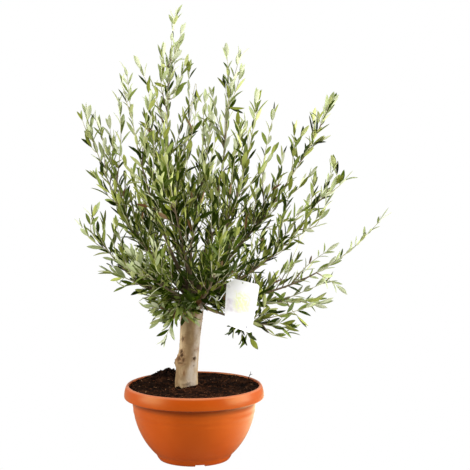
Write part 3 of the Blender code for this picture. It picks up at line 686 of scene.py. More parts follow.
fork_points = [wisp_points[2] + Vector(step) for step in FORK_STEPS]
crumbs += [tube(wisp_points, WISP_RADII, 6), tube(fork_points, FORK_RADII, 6)]
crumb_piece = make_piece("soil_crumbs", *gather(crumbs), [compost], sharp_angle=50)
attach(crumb_piece, "root")
bark_fines = finish("bark_fines", BARK_FINES, roughness=0.85, specular=0.1)
pale_fibre = finish("pale_fibre", PALE_FIBRE, roughness=0.85, specular=0.1)
for name, shapes, tint in (("bark_slivers", slivers, bark_fines), ("pale_fibres", fibres, pale_fibre)):
    piece = make_piece(name, *gather(shapes), [tint], sharp_angle=50)
    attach(piece, "root")


# The trunk and its boughs. One short bare trunk that leans to the right, flares at the soil and
# swells at its head, where twenty boughs were left when the tree was cut back. Smooth pale
# grey-beige bark, with shallow upright folds, knots where shoots were rubbed off, and scars. The
# pale bark on its front right is partly a painted highlight, and its head and boughs are painted
# dark as shade under the crown.
TRUNK_HEIGHTS = [0.2078, 0.216, 0.235, 0.268, 0.317, 0.383, 0.436, 0.468, 0.488, 0.502, 0.511]
AXIS_HEIGHTS = [0.2078, 0.268, 0.317, 0.383, 0.436, 0.511]
AXIS_OFFSETS = [-0.0225, -0.0200, -0.0140, -0.0086, -0.0040, 0.0005]
TRUNK_LOBES = 0.035
TRUNK_RINGS = 90
TRUNK_SIDES = 56
Burr = namedtuple("Burr", "height angle rise spread")
BURRS = [
    Burr(0.284, math.radians(186), 0.0042, 0.015),
    Burr(0.226, math.radians(214), 0.0040, 0.013),
    Burr(0.222, math.radians(-42), 0.0036, 0.012),
]


def trunk_axis(height):
    return Vector((float(np.interp(height, AXIS_HEIGHTS, AXIS_OFFSETS)), 0.0, height))


def trunk_radius(height, angle=0.0):
    """Radius of the trunk's bark, with its slow lobes, which are deepest at the root flare."""
    radius = float(np.interp(height, TRUNK_HEIGHTS, TRUNK_RADII))
    flare = 1 + 1.4 * math.exp(-((height - TRUNK_HEIGHTS[0]) / 0.02) ** 2)
    wave = math.sin(3 * angle + 9 * height) + 0.6 * math.sin(5 * angle - 14 * height + 1.0)
    radius *= 1 + TRUNK_LOBES * 0.6 * flare * wave
    for burr in BURRS:
        turn = math.remainder(angle - burr.angle, 2 * math.pi) * radius
        off = ((height - burr.height) ** 2 + turn**2) / burr.spread**2
        radius += burr.rise * math.exp(-off)
    return radius


# Each limb is one smooth curve from its seat on the trunk's head to the furthest tip of its
# foliage: height and direction of the seat, way and distance from the crown's heart to the tip,
# and how many degrees steeper the tip stands than a straight limb would.
HEART = Vector((0.0, 0.0, 0.47))
Limb = namedtuple("Limb", "name seat_height seat_angle angle tilt reach upturn radius")
LIMBS = [
    Limb("leader", 0.494, 180, 184, 4, 0.812, 13, 0.0100),
    Limb("upper_left", 0.486, 218, 199, 17, 0.700, 14, 0.0080),
    Limb("left", 0.476, 190, 173, 31, 0.640, 18, 0.0080),
    Limb("left_low", 0.461, 168, 187, 52, 0.410, 38, 0.0070),
    Limb("left_side", 0.456, 204, 199, 72, 0.300, 6, 0.0065),
    Limb("left_droop", 0.447, 222, 210, 118, 0.168, -8, 0.0055),
    Limb("upper_right", 0.492, 52, 27, 9, 0.732, 14, 0.0085),
    Limb("front_right", 0.484, 312, 332, 20, 0.628, 15, 0.0080),
    Limb("right", 0.486, 8, 5, 36, 0.710, 10, 0.0085),
    Limb("right_mid", 0.474, 338, 353, 48, 0.568, 28, 0.0075),
    Limb("far_right", 0.463, 8, 2, 68, 0.620, 30, 0.0075),
    Limb("right_side", 0.450, 30, 10, 94, 0.378, 6, 0.0065),
    Limb("right_droop", 0.447, 350, 346, 107, 0.325, 12, 0.0060),
    Limb("front_up", 0.486, 262, 252, 27, 0.570, 14, 0.0080),
    Limb("front_low", 0.449, 292, 287, 57, 0.400, 22, 0.0070),
    Limb("front_left", 0.466, 240, 232, 62, 0.345, 18, 0.0070),
    Limb("back_up", 0.486, 104, 78, 23, 0.612, 14, 0.0080),
    Limb("back_left", 0.474, 136, 128, 44, 0.478, 22, 0.0075),
    Limb("back_right", 0.466, 66, 52, 47, 0.486, 22, 0.0075),
    Limb("back_low", 0.449, 95, 95, 71, 0.350, 14, 0.0065),
]
BOUGH_SHARE = 0.20
BOUGH_LEAST = 0.060
BOUGH_END_RADIUS = 0.0046
BOUGH_RINGS = 14
SEAT_DEPTH = 0.014
LIMB_STEPS = 40
COLLAR = 0.45
COLLAR_SPREAD = 0.012
TIP_LEAF = 0.050


def polar(angle, tilt):
    """Unit vector that leans `tilt` degrees from upright towards `angle` degrees from +X."""
    a, t = math.radians(angle), math.radians(tilt)
    return Vector((math.sin(t) * math.cos(a), math.sin(t) * math.sin(a), math.cos(t)))


class Path:
    """A polyline that can be read by its distance from the start."""

    def __init__(self, points):
        self.points = [Vector(p) for p in points]
        self.marks = [0.0]
        for a, b in zip(self.points, self.points[1:]):
            self.marks.append(self.marks[-1] + (b - a).length)
        self.length = self.marks[-1]

    def at(self, distance):
        distance = min(max(distance, 0.0), self.length)
        i = 1
        while i < len(self.marks) - 1 and self.marks[i] < distance:
            i += 1
        share = (distance - self.marks[i - 1]) / (self.marks[i] - self.marks[i - 1])
        return self.points[i - 1].lerp(self.points[i], share)

    def direction(self, distance):
        step = min(0.012, self.length / 4)
        low, high = max(distance - step, 0.0), min(distance + step, self.length)
        return (self.at(high) - self.at(low)).normalized()

    def stretch(self, start, end, count):
        return [self.at(start + (end - start) * i / (count - 1)) for i in range(count)]


def limb_path(limb):
    """The whole limb as one smooth curve from inside the trunk to its furthest tip."""
    depth = max(trunk_radius(limb.seat_height) - SEAT_DEPTH, 0.0)
    seat = trunk_axis(limb.seat_height) + polar(limb.seat_angle, 90) * depth
    if limb.name == "leader":
        seat = trunk_axis(limb.seat_height)
    tip = HEART + polar(limb.angle, limb.tilt) * (limb.reach - TIP_LEAF)
    chord = tip - seat
    leave_tilt = math.degrees(chord.angle(Vector((0, 0, 1)))) + limb.upturn
    handle = chord.length * 0.34
    a = seat + polar(limb.seat_angle, leave_tilt) * handle
    b = tip - polar(limb.angle, limb.tilt - limb.upturn) * handle
    points = []
    for i in range(LIMB_STEPS + 1):
        t = i / LIMB_STEPS
        u = 1 - t
        points.append(seat * u**3 + a * 3 * u * u * t + b * 3 * u * t * t + tip * t**3)
    return Path(points)


def bough_length(path):
    return max(path.length * BOUGH_SHARE, BOUGH_LEAST)


limb_paths = {limb: limb_path(limb) for limb in LIMBS}

# Knots and scars on the bark: height, angle round the trunk, half width, half height, how far
# the middle stands out or sinks in, how far the collar round it stands out, and its two tints.
Knot = namedtuple("Knot", "height angle wide tall rise collar dark red")
KNOTS = [
    Knot(0.2936, -52, 0.0040, 0.0043, -0.0036, 0.0014, 1.0, 0.1),
    Knot(0.2733, -51, 0.0020, 0.0024, -0.0008, 0.0005, 0.60, 0.0),
    Knot(0.350, -131, 0.0040, 0.0062, -0.0012, 0.0014, 0.80, 0.5),
    Knot(0.314, -134, 0.0042, 0.0046, -0.0022, 0.0020, 1.0, 0.7),
    Knot(0.304, -127, 0.0046, 0.0054, -0.0024, 0.0024, 1.0, 0.7),
    Knot(0.2925, -145, 0.0078, 0.0056, -0.0014, 0.0028, 0.85, 1.0),
    Knot(0.290, -113, 0.0028, 0.0060, -0.0012, 0.0014, 0.80, 0.6),
    Knot(0.280, -128, 0.0070, 0.0028, -0.0010, 0.0014, 0.60, 0.5),
    Knot(0.278, -176, 0.0048, 0.0054, 0.0048, 0.0012, 0.70, 0.2),
    Knot(0.253, -103, 0.0018, 0.0050, -0.0006, 0.0006, 0.45, 1.0),
    Knot(0.223, -80, 0.0060, 0.0044, 0.0036, 0.0010, 0.60, 0.1),
    Knot(0.377, -22, 0.0022, 0.0046, -0.0012, 0.0012, 0.70, 0.3),
    Knot(0.320, -37, 0.0052, 0.0040, 0.0010, 0.0012, 0.22, 0.5),
    Knot(0.399, -158, 0.0046, 0.0100, 0.0012, 0.0010, 0.30, 1.0),
    Knot(0.352, 62, 0.0040, 0.0046, -0.0014, 0.0018, 0.75, 0.3),
    Knot(0.297, 118, 0.0062, 0.0060, 0.0030, 0.0012, 0.40, 0.6),
    Knot(0.250, 30, 0.0026, 0.0034, -0.0012, 0.0012, 0.80, 0.3),
    Knot(0.405, 14, 0.0034, 0.0052, -0.0008, 0.0014, 0.60, 0.5),
    Knot(0.330, 172, 0.0024, 0.0030, -0.0010, 0.0010, 0.65, 0.4),
]
# Where the smooth pale bark runs up the trunk, and the browner bark beside it: heights, the angle
# round the trunk of its middle at each, and its half width in degrees. On the front right the
# pale bark is partly a painted highlight, on the side towards the right light.
PALE_BARK_AND_HIGHLIGHT = ([0.20, 0.24, 0.28, 0.31, 0.34, 0.39, 0.45], [-62, -60, -52, -44, -38, -34, -30],
             [26, 28, 27, 28, 26, 26, 24])
BROWN_BARK = ([0.21, 0.25, 0.29, 0.33, 0.38, 0.43], [-135, -125, -100, -88, -84, -80],
              [50, 45, 24, 30, 34, 34])
BARK_VOXEL = 0.0017
TRUNK_EDGE = 0.046
EDGE_FADE = 0.008
HEAD_LEVEL = 0.49
HEAD_FADE = 0.04
BOUGH_SHADE_FROM = 0.428
BOUGH_SHADE_FADE = 0.030
FOLD_RELIEF = 0.0011
WRINKLE_RELIEF = 0.00045
BARK = (0.42, 0.31, 0.20)
BARK_CLOUDS = [
    (0.30, (0.184, 0.112, 0.050)),
    (0.46, (0.295, 0.198, 0.098)),
    (0.60, (0.375, 0.272, 0.150)),
    (0.74, (0.455, 0.357, 0.222)),
]
PALE_CLOUDS = [(0.30, (0.310, 0.240, 0.172)), (0.50, (0.400, 0.330, 0.252)), (0.70, (0.470, 0.405, 0.330))]
BROWN_TINT = (0.198, 0.122, 0.057)
SPECK_TINT = (0.25, 0.16, 0.085)
RED_SCAR = (0.26, 0.110, 0.040)
DARK_SCAR = (0.055, 0.028, 0.012)
BOUGH_SHADE = (0.045, 0.032, 0.018)


def trunk_shell():
    """The trunk as a closed tube of rings, with its foot just inside the soil."""
    vertices, faces = [], []
    for height in np.linspace(TRUNK_HEIGHTS[0] - 0.006, TRUNK_HEIGHTS[-1], TRUNK_RINGS):
        in_trunk = max(height, TRUNK_HEIGHTS[0])
        axis = trunk_axis(in_trunk)
        axis.z = height
        for k in range(TRUNK_SIDES):
            turn = 2 * math.pi * k / TRUNK_SIDES
            vertices.append(axis + Vector((*on_circle(trunk_radius(in_trunk, turn), turn), 0)))
    top = (TRUNK_RINGS - 1) * TRUNK_SIDES
    for start in range(0, top, TRUNK_SIDES):
        faces += wall(start, TRUNK_SIDES)
    faces.append(tuple(reversed(range(TRUNK_SIDES))))
    faces.append(tuple(range(top, top + TRUNK_SIDES)))
    return vertices, faces


def bough_shell(limb, path):
    """A bough that starts inside the trunk with a swollen collar and tapers to its mass."""
    length = bough_length(path)
    points = path.stretch(0.0, length, BOUGH_RINGS)
    radii = []
    for i in range(BOUGH_RINGS):
        share = i / (BOUGH_RINGS - 1)
        radius = limb.radius + (BOUGH_END_RADIUS - limb.radius) * share**0.8
        swelling = math.exp(-(max(share * length - SEAT_DEPTH, 0)) / COLLAR_SPREAD)
        radii.append(radius * (1 + COLLAR * swelling))
    return tube(points, radii, 16)


wood_shapes = [trunk_shell()] + [bough_shell(limb, path) for limb, path in limb_paths.items()]
olive_bark = finish("olive_bark", BARK, roughness=0.82, specular=0.12)
wood = make_piece("trunk_and_boughs", *gather(wood_shapes), [olive_bark])
remesh = wood.modifiers.new("grown_together", "REMESH")
remesh.mode = "VOXEL"
remesh.voxel_size = BARK_VOXEL
smooth = wood.modifiers.new("softened", "SMOOTH")
smooth.iterations = 4
smooth.factor = 0.5
apply_modifiers(wood)


def read_vectors(name):
    """A vector for each point of the bark's mesh."""
    values = np.zeros(len(wood.data.vertices) * 3, np.float32)
    wood.data.vertices.foreach_get(name, values)
    return values.reshape(-1, 3).astype(float)


def turn_from(angle):
    """How far round the trunk each point is from an angle, between -pi and pi."""
    return np.remainder(around - angle + math.pi, 2 * math.pi) - math.pi


def bark_noise(across, up, roughness, octaves):
    """Slow noise at each point, at one scale across the trunk and one up it."""
    return np.array([noise.fractal(Vector((x * across, y * across, z * up)), roughness, 2.0, octaves)
                     for x, y, z in spots])


spots, normals = read_vectors("co"), read_vectors("normal")
heights = spots[:, 2].copy()
off_x, off_y = spots[:, 0] - np.interp(heights, AXIS_HEIGHTS, AXIS_OFFSETS), spots[:, 1]
around = np.arctan2(off_y, off_x)
from_axis = np.hypot(off_y, off_x)
on_trunk = np.clip((TRUNK_EDGE - from_axis) / EDGE_FADE, 0, 1)
on_trunk *= np.clip((HEAD_LEVEL - heights) / HEAD_FADE, 0, 1)
relief, dark, red = np.zeros((3, len(spots)))
for knot in KNOTS:
    across, above = turn_from(math.radians(knot.angle)) * from_axis, heights - knot.height
    away = np.sqrt((across / knot.wide) ** 2 + (above / knot.tall) ** 2)
    ragged = away * (1 + 0.22 * np.sin(5 * np.arctan2(above, across) + knot.angle))
    heart = np.exp(-(ragged**2)) * on_trunk
    ring = np.exp(-(((ragged - 1.5) / 0.45) ** 2)) * on_trunk
    relief += knot.rise * heart + knot.collar * ring
    dark = np.maximum(dark, knot.dark * np.exp(-((ragged * 0.85) ** 3)) * on_trunk)
    red = np.maximum(red, knot.red * np.exp(-((ragged / 1.7) ** 2)) * on_trunk)
folds = bark_noise(across=46, up=11, roughness=0.8, octaves=4)
wrinkles = bark_noise(across=120, up=330, roughness=0.8, octaves=3)
thick = np.clip(from_axis / 0.03, 0.25, 1.0) * np.where(on_trunk > 0, 1.0, 0.45)
relief += FOLD_RELIEF * folds * thick + WRINKLE_RELIEF * wrinkles * thick
spots += normals * relief[:, None]
wood.data.vertices.foreach_set("co", spots.astype(np.float32).ravel())

patches = bark_noise(across=30, up=16, roughness=0.9, octaves=3)
zones = []
for zone_heights, middles, halves in (PALE_BARK_AND_HIGHLIGHT, BROWN_BARK):
    middle = np.radians(np.interp(spots[:, 2], zone_heights, middles))
    half = np.radians(np.interp(spots[:, 2], zone_heights, halves))
    zones.append(np.exp(-((turn_from(middle - 0.22 * patches) / half) ** 4)) * on_trunk)
# The pale zone is pale bark, and on the front right also a painted highlight towards the right light.
pale, brown = zones
mottle = bark_noise(across=95, up=60, roughness=0.9, octaves=3)
brown = brown * np.clip(0.72 + 0.9 * mottle, 0, 1)
pale = pale * np.clip(0.85 + 0.7 * mottle, 0, 1)
behind = np.clip(np.abs(turn_from(-math.pi / 2)) - 1.3, 0, 1)
pale = np.clip(pale + behind * np.clip(patches * 1.6, 0, 0.8), 0, 1)
brown = brown * (1 - pale)
# Painted shade: from the trunk's head up, the bark of the head and boughs turns near black-brown, as shade
# under the crown.
young = np.clip((spots[:, 2] - BOUGH_SHADE_FROM) / BOUGH_SHADE_FADE, 0, 1)
masks = {"dark_scar": dark, "red_scar": red, "pale_bark": pale, "brown_bark": brown, "bough_bark": young}
for name, values in masks.items():
    mark = wood.data.attributes.new(name, "FLOAT", "POINT")
    mark.data.foreach_set("value", values.astype(np.float32))
wood.data.materials.clear()
wood.data.materials.append(olive_bark)
wood.data.shade_smooth()
wood.data.update()

bark_tree = olive_bark.node_tree
bark_grain = place_grain(bark_tree, cloud_scale=24.0, grain_scale=420.0, stretch=0.35)


def mesh_mask(name, most=1.0):
    """A mask that the bark's mesh carries, and the most that it covers."""
    mask = add_node(bark_tree, "Attribute", attribute_name=name).outputs["Fac"]
    return map_range(bark_tree, mask, 0.0, 1.0, 0.0, most)


bark_layers = [
    (mesh_mask("brown_bark", 0.85), BROWN_TINT),
    (mesh_mask("pale_bark"), blend_colours(bark_tree, bark_grain["Cloud"], PALE_CLOUDS)),
    (map_range(bark_tree, bark_grain["Grain"], 0.55, 0.75, 0.0, 0.35), SPECK_TINT),
    (mesh_mask("red_scar", 0.80), RED_SCAR),
    (mesh_mask("dark_scar"), DARK_SCAR),
    # Painted shade on the head and boughs.
    (mesh_mask("bough_bark", 0.92), BOUGH_SHADE),
]
bark_colour = blend_colours(bark_tree, bark_grain["Cloud"], BARK_CLOUDS)
feed(bark_tree, "Base Color", lay_colours(bark_tree, bark_colour, bark_layers))
set_bump(bark_tree, bark_grain["Grain"], distance=0.0006, strength=0.5)
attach(wood, "root")
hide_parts("trunk", *[f"bough_{limb.name}" for limb in LIMBS])


# The label and its strap. A white card, die cut with round corners, one corner cropped and two
# punched holes, hung by a thin white plastic strap that loops round the trunk below the boughs.
# It hangs a little twisted. Its print is a plain panel of soft slanting stripes on a pale band.
LABEL_CENTRE = Vector((0.1315, -0.125, 0.4635))
LABEL_WIDTH = 0.098
LABEL_HEIGHT = 0.138
LABEL_THICKNESS = 0.0007
LABEL_TURN = math.radians(10)
LABEL_LEAN = math.radians(3.5)
LABEL_YAW = math.radians(32)
LABEL_POSE = Euler((LABEL_LEAN, LABEL_TURN, -LABEL_YAW), "YXZ").to_matrix()
LABEL_CORNER = 0.009
LABEL_CROP = (0.0235, 0.0200)
LABEL_BOW = 0.0016
LABEL_TWIST = math.radians(8)
LABEL_MARGIN = 0.004
LABEL_SIGHT = Vector((0.0, 0.989, -0.149))
HOLE_PLACE = (-0.0400, 0.0440)
HOLE_RADIUS = 0.0030
SMALL_HOLE_PLACE = (-0.0006, 0.0630)
SMALL_HOLE_RADIUS = 0.0022
STRAP_HEIGHT = 0.4325
STRAP_START = math.radians(-45)
STRAP_TURNS = 1.02
STRAP_SLOPE = 0.010
STRAP_EASE = 0.0012
STRAP_PITCH = 0.0042
STRAP_CREST = Vector((0.052, -0.066, 0.478))
STRAP_DIP = Vector((0.0715, -0.082, 0.4690))
STRAP_EDGE = Vector((0.0850, -0.088, 0.4880))
STRAP_HOLE_RUN = 0.012
STRAP_END_RUN = 0.0012
STRAP_RADIUS = 0.0010
STRAP_TURN_POINTS = 15
STRAP_SPAN = 6
GAP = 0.0003
CARD_WHITE = (0.94, 0.93, 0.93)
CARD_CORNER_STEPS = 6
CARD_BENDS = 16
STRAP_WHITE = (0.80, 0.80, 0.79)
STRAP_BUTTON = [(0, 0), (0.0044, 0), (0.0050, 0.0005), (0.0044, 0.0011), (0.0022, 0.0014), (0, 0.0015)]
BUTTON_DEPTH = 0.0004


def label_point(x, z, y=0.0):
    """A point of the card, from its place across and up the card and its distance behind it."""
    return LABEL_CENTRE + LABEL_POSE @ Vector((x, y, z))


def card_sag(x, z):
    """Place across the card and distance behind it of a point of the bowed and twisted card."""
    y = LABEL_BOW * ((2 * x / LABEL_WIDTH) ** 2 - 0.3)
    twist = -LABEL_TWIST * 2 * z / LABEL_HEIGHT
    return x * math.cos(twist) + y * math.sin(twist), y * math.cos(twist) - x * math.sin(twist)


printed_card = finish("printed_card", CARD_WHITE, roughness=0.35)
card_tree = printed_card.node_tree
card_axes = object_axes(card_tree)
card_grain = place_grain(card_tree, cloud_scale=70.0, grain_scale=1800.0)


def card_block(middle, half, soft):
    """A mask that is 1 in a block of the card round its middle, with a soft edge."""
    sides = []
    for place, centre, reach in zip((card_axes["X"], card_axes["Z"]), middle, half):
        away = add_math(card_tree, "ABSOLUTE", add_math(card_tree, "SUBTRACT", place, centre))
        sides.append(map_range(card_tree, away, reach - soft, reach + soft, 1.0, 0.0))
    return add_math(card_tree, "MULTIPLY", *sides)


cloudy = add_math(card_tree, "MULTIPLY", add_math(card_tree, "SUBTRACT", card_grain["Cloud"], 0.5), 0.045)
slant_x = add_math(card_tree, "MULTIPLY", card_axes["X"], 0.75)
slant = add_math(card_tree, "ADD", slant_x, add_math(card_tree, "MULTIPLY", card_axes["Z"], 0.55))
waves = add_math(card_tree, "MULTIPLY", add_math(card_tree, "ADD", slant, cloudy), 480.0)
stripes = map_range(card_tree, add_math(card_tree, "SINE", waves), -1.0, 1.0, 0.20, 0.95)
mottled = map_range(card_tree, card_grain["Cloud"], 0.35, 0.65, 0.25, 0.85)
# The blocks of the print: middle, half size, softness of the edge, strength and colour.
card_print = [
    ((-0.002, -0.009), (0.044, 0.018), 0.004, mottled, (0.66, 0.60, 0.67)),
    ((0.005, 0.007), (0.024, 0.026), 0.009, stripes, (0.80, 0.83, 0.42)),
    ((-0.004, -0.050), (0.026, 0.008), 0.003, 0.6, (0.78, 0.74, 0.84)),
    ((0.030, 0.034), (0.014, 0.006), 0.003, 0.6, (0.76, 0.76, 0.77)),
    ((0.0300, -0.0560), (0.0035, 0.0028), 0.002, 1.0, (0.36, 0.36, 0.40)),
]
print_layers = [(add_math(card_tree, "MULTIPLY", card_block(middle, half, soft), strength), colour)
                for middle, half, soft, strength, colour in card_print]
feed(card_tree, "Base Color", lay_colours(card_tree, CARD_WHITE, print_layers))
set_bump(card_tree, card_grain["Grain"], distance=0.00005, strength=0.2)

card_outline = []
for sx, sz, first in ((1, 1, 0), (-1, -1, 180), (1, -1, 270)):
    corner_x = sx * (LABEL_WIDTH / 2 - LABEL_CORNER)
    corner_z = sz * (LABEL_HEIGHT / 2 - LABEL_CORNER)
    for step in range(CARD_CORNER_STEPS + 1):
        round_x, round_z = on_circle(LABEL_CORNER, math.radians(first + 90 / CARD_CORNER_STEPS * step))
        card_outline.append((corner_x + round_x, corner_z + round_z))
    if first == 0:
        card_outline.append((LABEL_CROP[0] - LABEL_WIDTH / 2, LABEL_HEIGHT / 2))
        card_outline.append((-LABEL_WIDTH / 2, LABEL_HEIGHT / 2 - LABEL_CROP[1]))
half_depth = LABEL_THICKNESS / 2
corners = len(card_outline)
card_vertices = [(x, y, z) for y in (-half_depth, half_depth) for x, z in card_outline]
card_faces = [tuple(range(corners)), tuple(reversed(range(corners, 2 * corners)))]
card_faces += [((k + 1) % corners, k, k + corners, (k + 1) % corners + corners) for k in range(corners)]
card = make_piece("hang_card", card_vertices, card_faces, [printed_card])
for radius, (hole_x, hole_z) in ((HOLE_RADIUS, HOLE_PLACE), (SMALL_HOLE_RADIUS, SMALL_HOLE_PLACE)):
    bpy.ops.mesh.primitive_cylinder_add(vertices=32, radius=radius, depth=0.01)
    punch = bpy.context.object
    punch.location = (hole_x, 0, hole_z)
    punch.rotation_euler = (math.pi / 2, 0, 0)
    cut_out(card, [punch])
shape = bmesh.new()
shape.from_mesh(card.data)
for axis, span in (((1, 0, 0), LABEL_WIDTH), ((0, 0, 1), LABEL_HEIGHT)):
    for k in range(1, CARD_BENDS):
        bmesh.ops.bisect_plane(shape, geom=shape.verts[:] + shape.edges[:] + shape.faces[:],
                               plane_co=Vector(axis) * span * (k / CARD_BENDS - 0.5), plane_no=axis)
for vertex in shape.verts:
    bent_x, bent_y = card_sag(vertex.co.x, vertex.co.z)
    vertex.co.x = bent_x
    vertex.co.y += bent_y
shape.to_mesh(card.data)
shape.free()
card.data.set_sharp_from_angle(angle=math.radians(50))
card.location = LABEL_CENTRE
card.rotation_mode = "YXZ"
card.rotation_euler = (LABEL_LEAN, LABEL_TURN, -LABEL_YAW)
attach(card, "root")
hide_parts("label")


def strap_route():
    """One turn round the trunk, then over a crest, a dip and behind the card to its hole."""
    points = []
    for i in range(STRAP_TURN_POINTS):
        share = i / (STRAP_TURN_POINTS - 1)
        turn = STRAP_START + 2 * math.pi * share * STRAP_TURNS
        height = STRAP_HEIGHT - STRAP_SLOPE * (1 - math.cos(turn)) / 2 + STRAP_PITCH * share
        around_trunk = max(trunk_radius(height, turn + nudge) for nudge in (-0.2, -0.1, 0.0, 0.1, 0.2))
        radius = around_trunk + STRAP_RADIUS + GAP * 2 + STRAP_EASE * share
        points.append(trunk_axis(height) + Vector((*on_circle(radius, turn), 0)))
    hole_x, hole_y = card_sag(*HOLE_PLACE)
    hole_back = label_point(hole_x, HOLE_PLACE[1], hole_y + STRAP_HOLE_RUN)
    hole_front = label_point(hole_x, HOLE_PLACE[1], hole_y - STRAP_END_RUN)
    rise = points[-1].lerp(STRAP_CREST, 0.55) + Vector((0.004, 0.0, 0.006))
    return [*points, rise, STRAP_CREST, STRAP_DIP, STRAP_EDGE, hole_back, hole_front]


def smooth_route(points, per_span):
    """Points on a smooth curve through the given ones."""
    made = []
    for i in range(len(points) - 1):
        p0, p1, p2 = points[max(i - 1, 0)], points[i], points[i + 1]
        p3 = points[min(i + 2, len(points) - 1)]
        for k in range(per_span):
            t = k / per_span
            a = p1 * 2 + (p2 - p0) * t
            b = (p0 * 2 - p1 * 5 + p2 * 4 - p3) * t * t
            c = (p1 * 3 - p0 - p2 * 3 + p3) * t**3
            made.append((a + b + c) * 0.5)
    return [*made, points[-1]]


strap_points = smooth_route(strap_route(), STRAP_SPAN)
on_turn = STRAP_SPAN * STRAP_TURN_POINTS
strap_radii = [STRAP_RADIUS * (1.10 if i < on_turn else 1.15) for i in range(len(strap_points))]
button_x, button_y = card_sag(*HOLE_PLACE)
button_vertices, button_faces = turned(STRAP_BUTTON, 24)
button_vertices = [label_point(button_x + x, HOLE_PLACE[1] + y, button_y - BUTTON_DEPTH - z)
                   for x, y, z in button_vertices]
strap_shapes = [tube(strap_points, strap_radii, 10), (button_vertices, button_faces)]
white_plastic = finish("white_strap", STRAP_WHITE, roughness=0.35)
strap_tree = white_plastic.node_tree
strap_grain = place_grain(strap_tree, cloud_scale=60.0, grain_scale=1500.0)
feed(strap_tree, "Roughness", map_range(strap_tree, strap_grain["Cloud"], 0.3, 0.7, 0.28, 0.45))
set_bump(strap_tree, strap_grain["Grain"], distance=0.0001, strength=0.2)
strap = make_piece("label_loop", *gather(strap_shapes), [white_plastic], sharp_angle=60)
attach(strap, "root")
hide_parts("label_strap")


# The foliage. Each bough runs on as the stem of one mass: side shoots leave it in a spiral and
# bend up to the light, smaller twigs leave those, and every twig carries leaves in crossed
# pairs. A shoot keeps to the space that lies nearest its own stem.
TIP_RADIUS = 0.0007
FIRST_SHOOT = 0.012
LAST_SHOOT = 0.060
SHOOT_SPACING = 0.096
SHOOT_LENGTH = 0.185
SHOOT_SHORTENING = 0.6
SHOOT_ANGLE = 46
SHOOT_LEANS = (-8, 10)
SHOOT_TURNS = (-0.3, 0.3)
SHOOT_LENGTHS = (0.8, 1.1)
SHOOT_STEPS = 3
LEAST_SHOOT = 0.030
SIDES_TRIED = 3
GOLDEN_ANGLE = math.radians(137.5)
RISE = 0.30
FOLLOW_STEM = 0.10
BETWEEN_SHARES = (0.80, 0.60, 0.95)
BETWEEN_UNTIL = (0.10, 0.55)
TWIGS_UNTIL = (0.15, 0.6)
TWIGGED_SHARE = (0.3, 0.4)
COMPANION_PLACES = (0.30, 0.45, 0.58)
COMPANION_LONGEST = 0.30
COMPANION_LENGTHS = (0.68, 0.95)
COMPANION_LEAN = 24
COMPANION_LEANS = (-5, 10)
COMPANION_STEPS = 6
COMPANION_RISE = 0.06
COMPANION_FOLLOW = 0.22
COMPANION_TWIGGED = (0.15, 0.3)
SPROUT_COUNT = 22
SPROUT_LENGTH = 0.075
SPROUT_LENGTHS = (0.55, 1.0)
SPROUT_TILTS = (70, 118)
SPROUT_BENDS = (-0.25, 0.35)
SPROUT_SEAT = 0.003
SPROUT_HEIGHTS = (0.437, 0.500)
FIRST_TWIG = 0.022
TWIG_SPACING = 0.036
TWIG_LENGTH = 0.085
SPUR_COUNT = 4
SPUR_SPACING = 0.012
SPUR_LENGTH = 0.080
SPUR_RISE = -0.10
CLEARANCE = 0.0035
SPACE_RADIUS = 0.20
REACH_MARGIN = 0.012
LEAF_LENGTH = 0.049
LEAF_SIZES = (0.78, 1.10)
LEAF_UNEVEN = (0.85, 1.12)
STEM_TIP_SIZES = (0.90, 1.0)
TIP_SIZES = (0.6, 0.9)
LEAF_WIDTHS = (0.165, 0.280)
SILVER_AND_GLINT_WIDTH = 0.65
BROAD_BELOW = 0.53
BROAD_FADE = 0.08
BROAD_SHARE = 1.05
SMALLER_LEAF = 0.65
LEAF_BENDS = (-0.35, 0.60)
DARK_SHARE = 0.22
PAIR_TWIST = 0.35
PAIR_SPACINGS = (0.8, 1.2)
TIP_SPREAD = 0.22
LEAF_ANGLE = 40
LEAF_LEANS = (-20, 26)
LEAF_CLOSING = 20
LEAF_LIFT = 0.36
LIFT_FROM = 0.42
LIFT_SPREAD = 0.30
LAST_PAIR = 0.004
LEAF_ROLL = 0.9
LIGHT_WAY = Vector((0.15, -0.80, 0.55)).normalized()
LIGHT_PULL = 1.6
SILVER_AND_GLINT_SHARE = 0.02
DRY_SHARE = 0.025
DRY_REACH = 0.6
MISSING_SHARE = 0.10
# The kinds of shoot: radius at the foot, where the first leaves stand, how far round each one's
# leaves are turned from the last one's, the spacing of the pairs, and how much paler they are.
Kind = namedtuple("Kind", "radius first spin spacing pale", defaults=(0.0,))
STEM = Kind(0.0036, 0.012, 0.4, 0.025)
LONG_SHOOT = Kind(0.0019, 0.014, 0.8, 0.033)
SIDE_SHOOT = Kind(0.0016, 0.012, 0.9, 0.033)
COMPANION = Kind(0.0016 * 1.15, 0.020, 0.7, 0.033)
TWIG = Kind(0.0011, 0.009, 1.3, 0.023)
SPUR = Kind(0.0011, 0.010, 1.1, 0.023 * 0.8, 0.5)
SPROUT = Kind(0.0011, 0.016, 0.9, 0.023 * 0.75, 0.6)
HEAD_SPROUT = Kind(0.0011, 0.016, 0.7, 0.023 * 0.8, 1.0)
Twig = namedtuple("Twig", "path kind heart")
Leaf = namedtuple("Leaf", "root along normal length width bend tone")

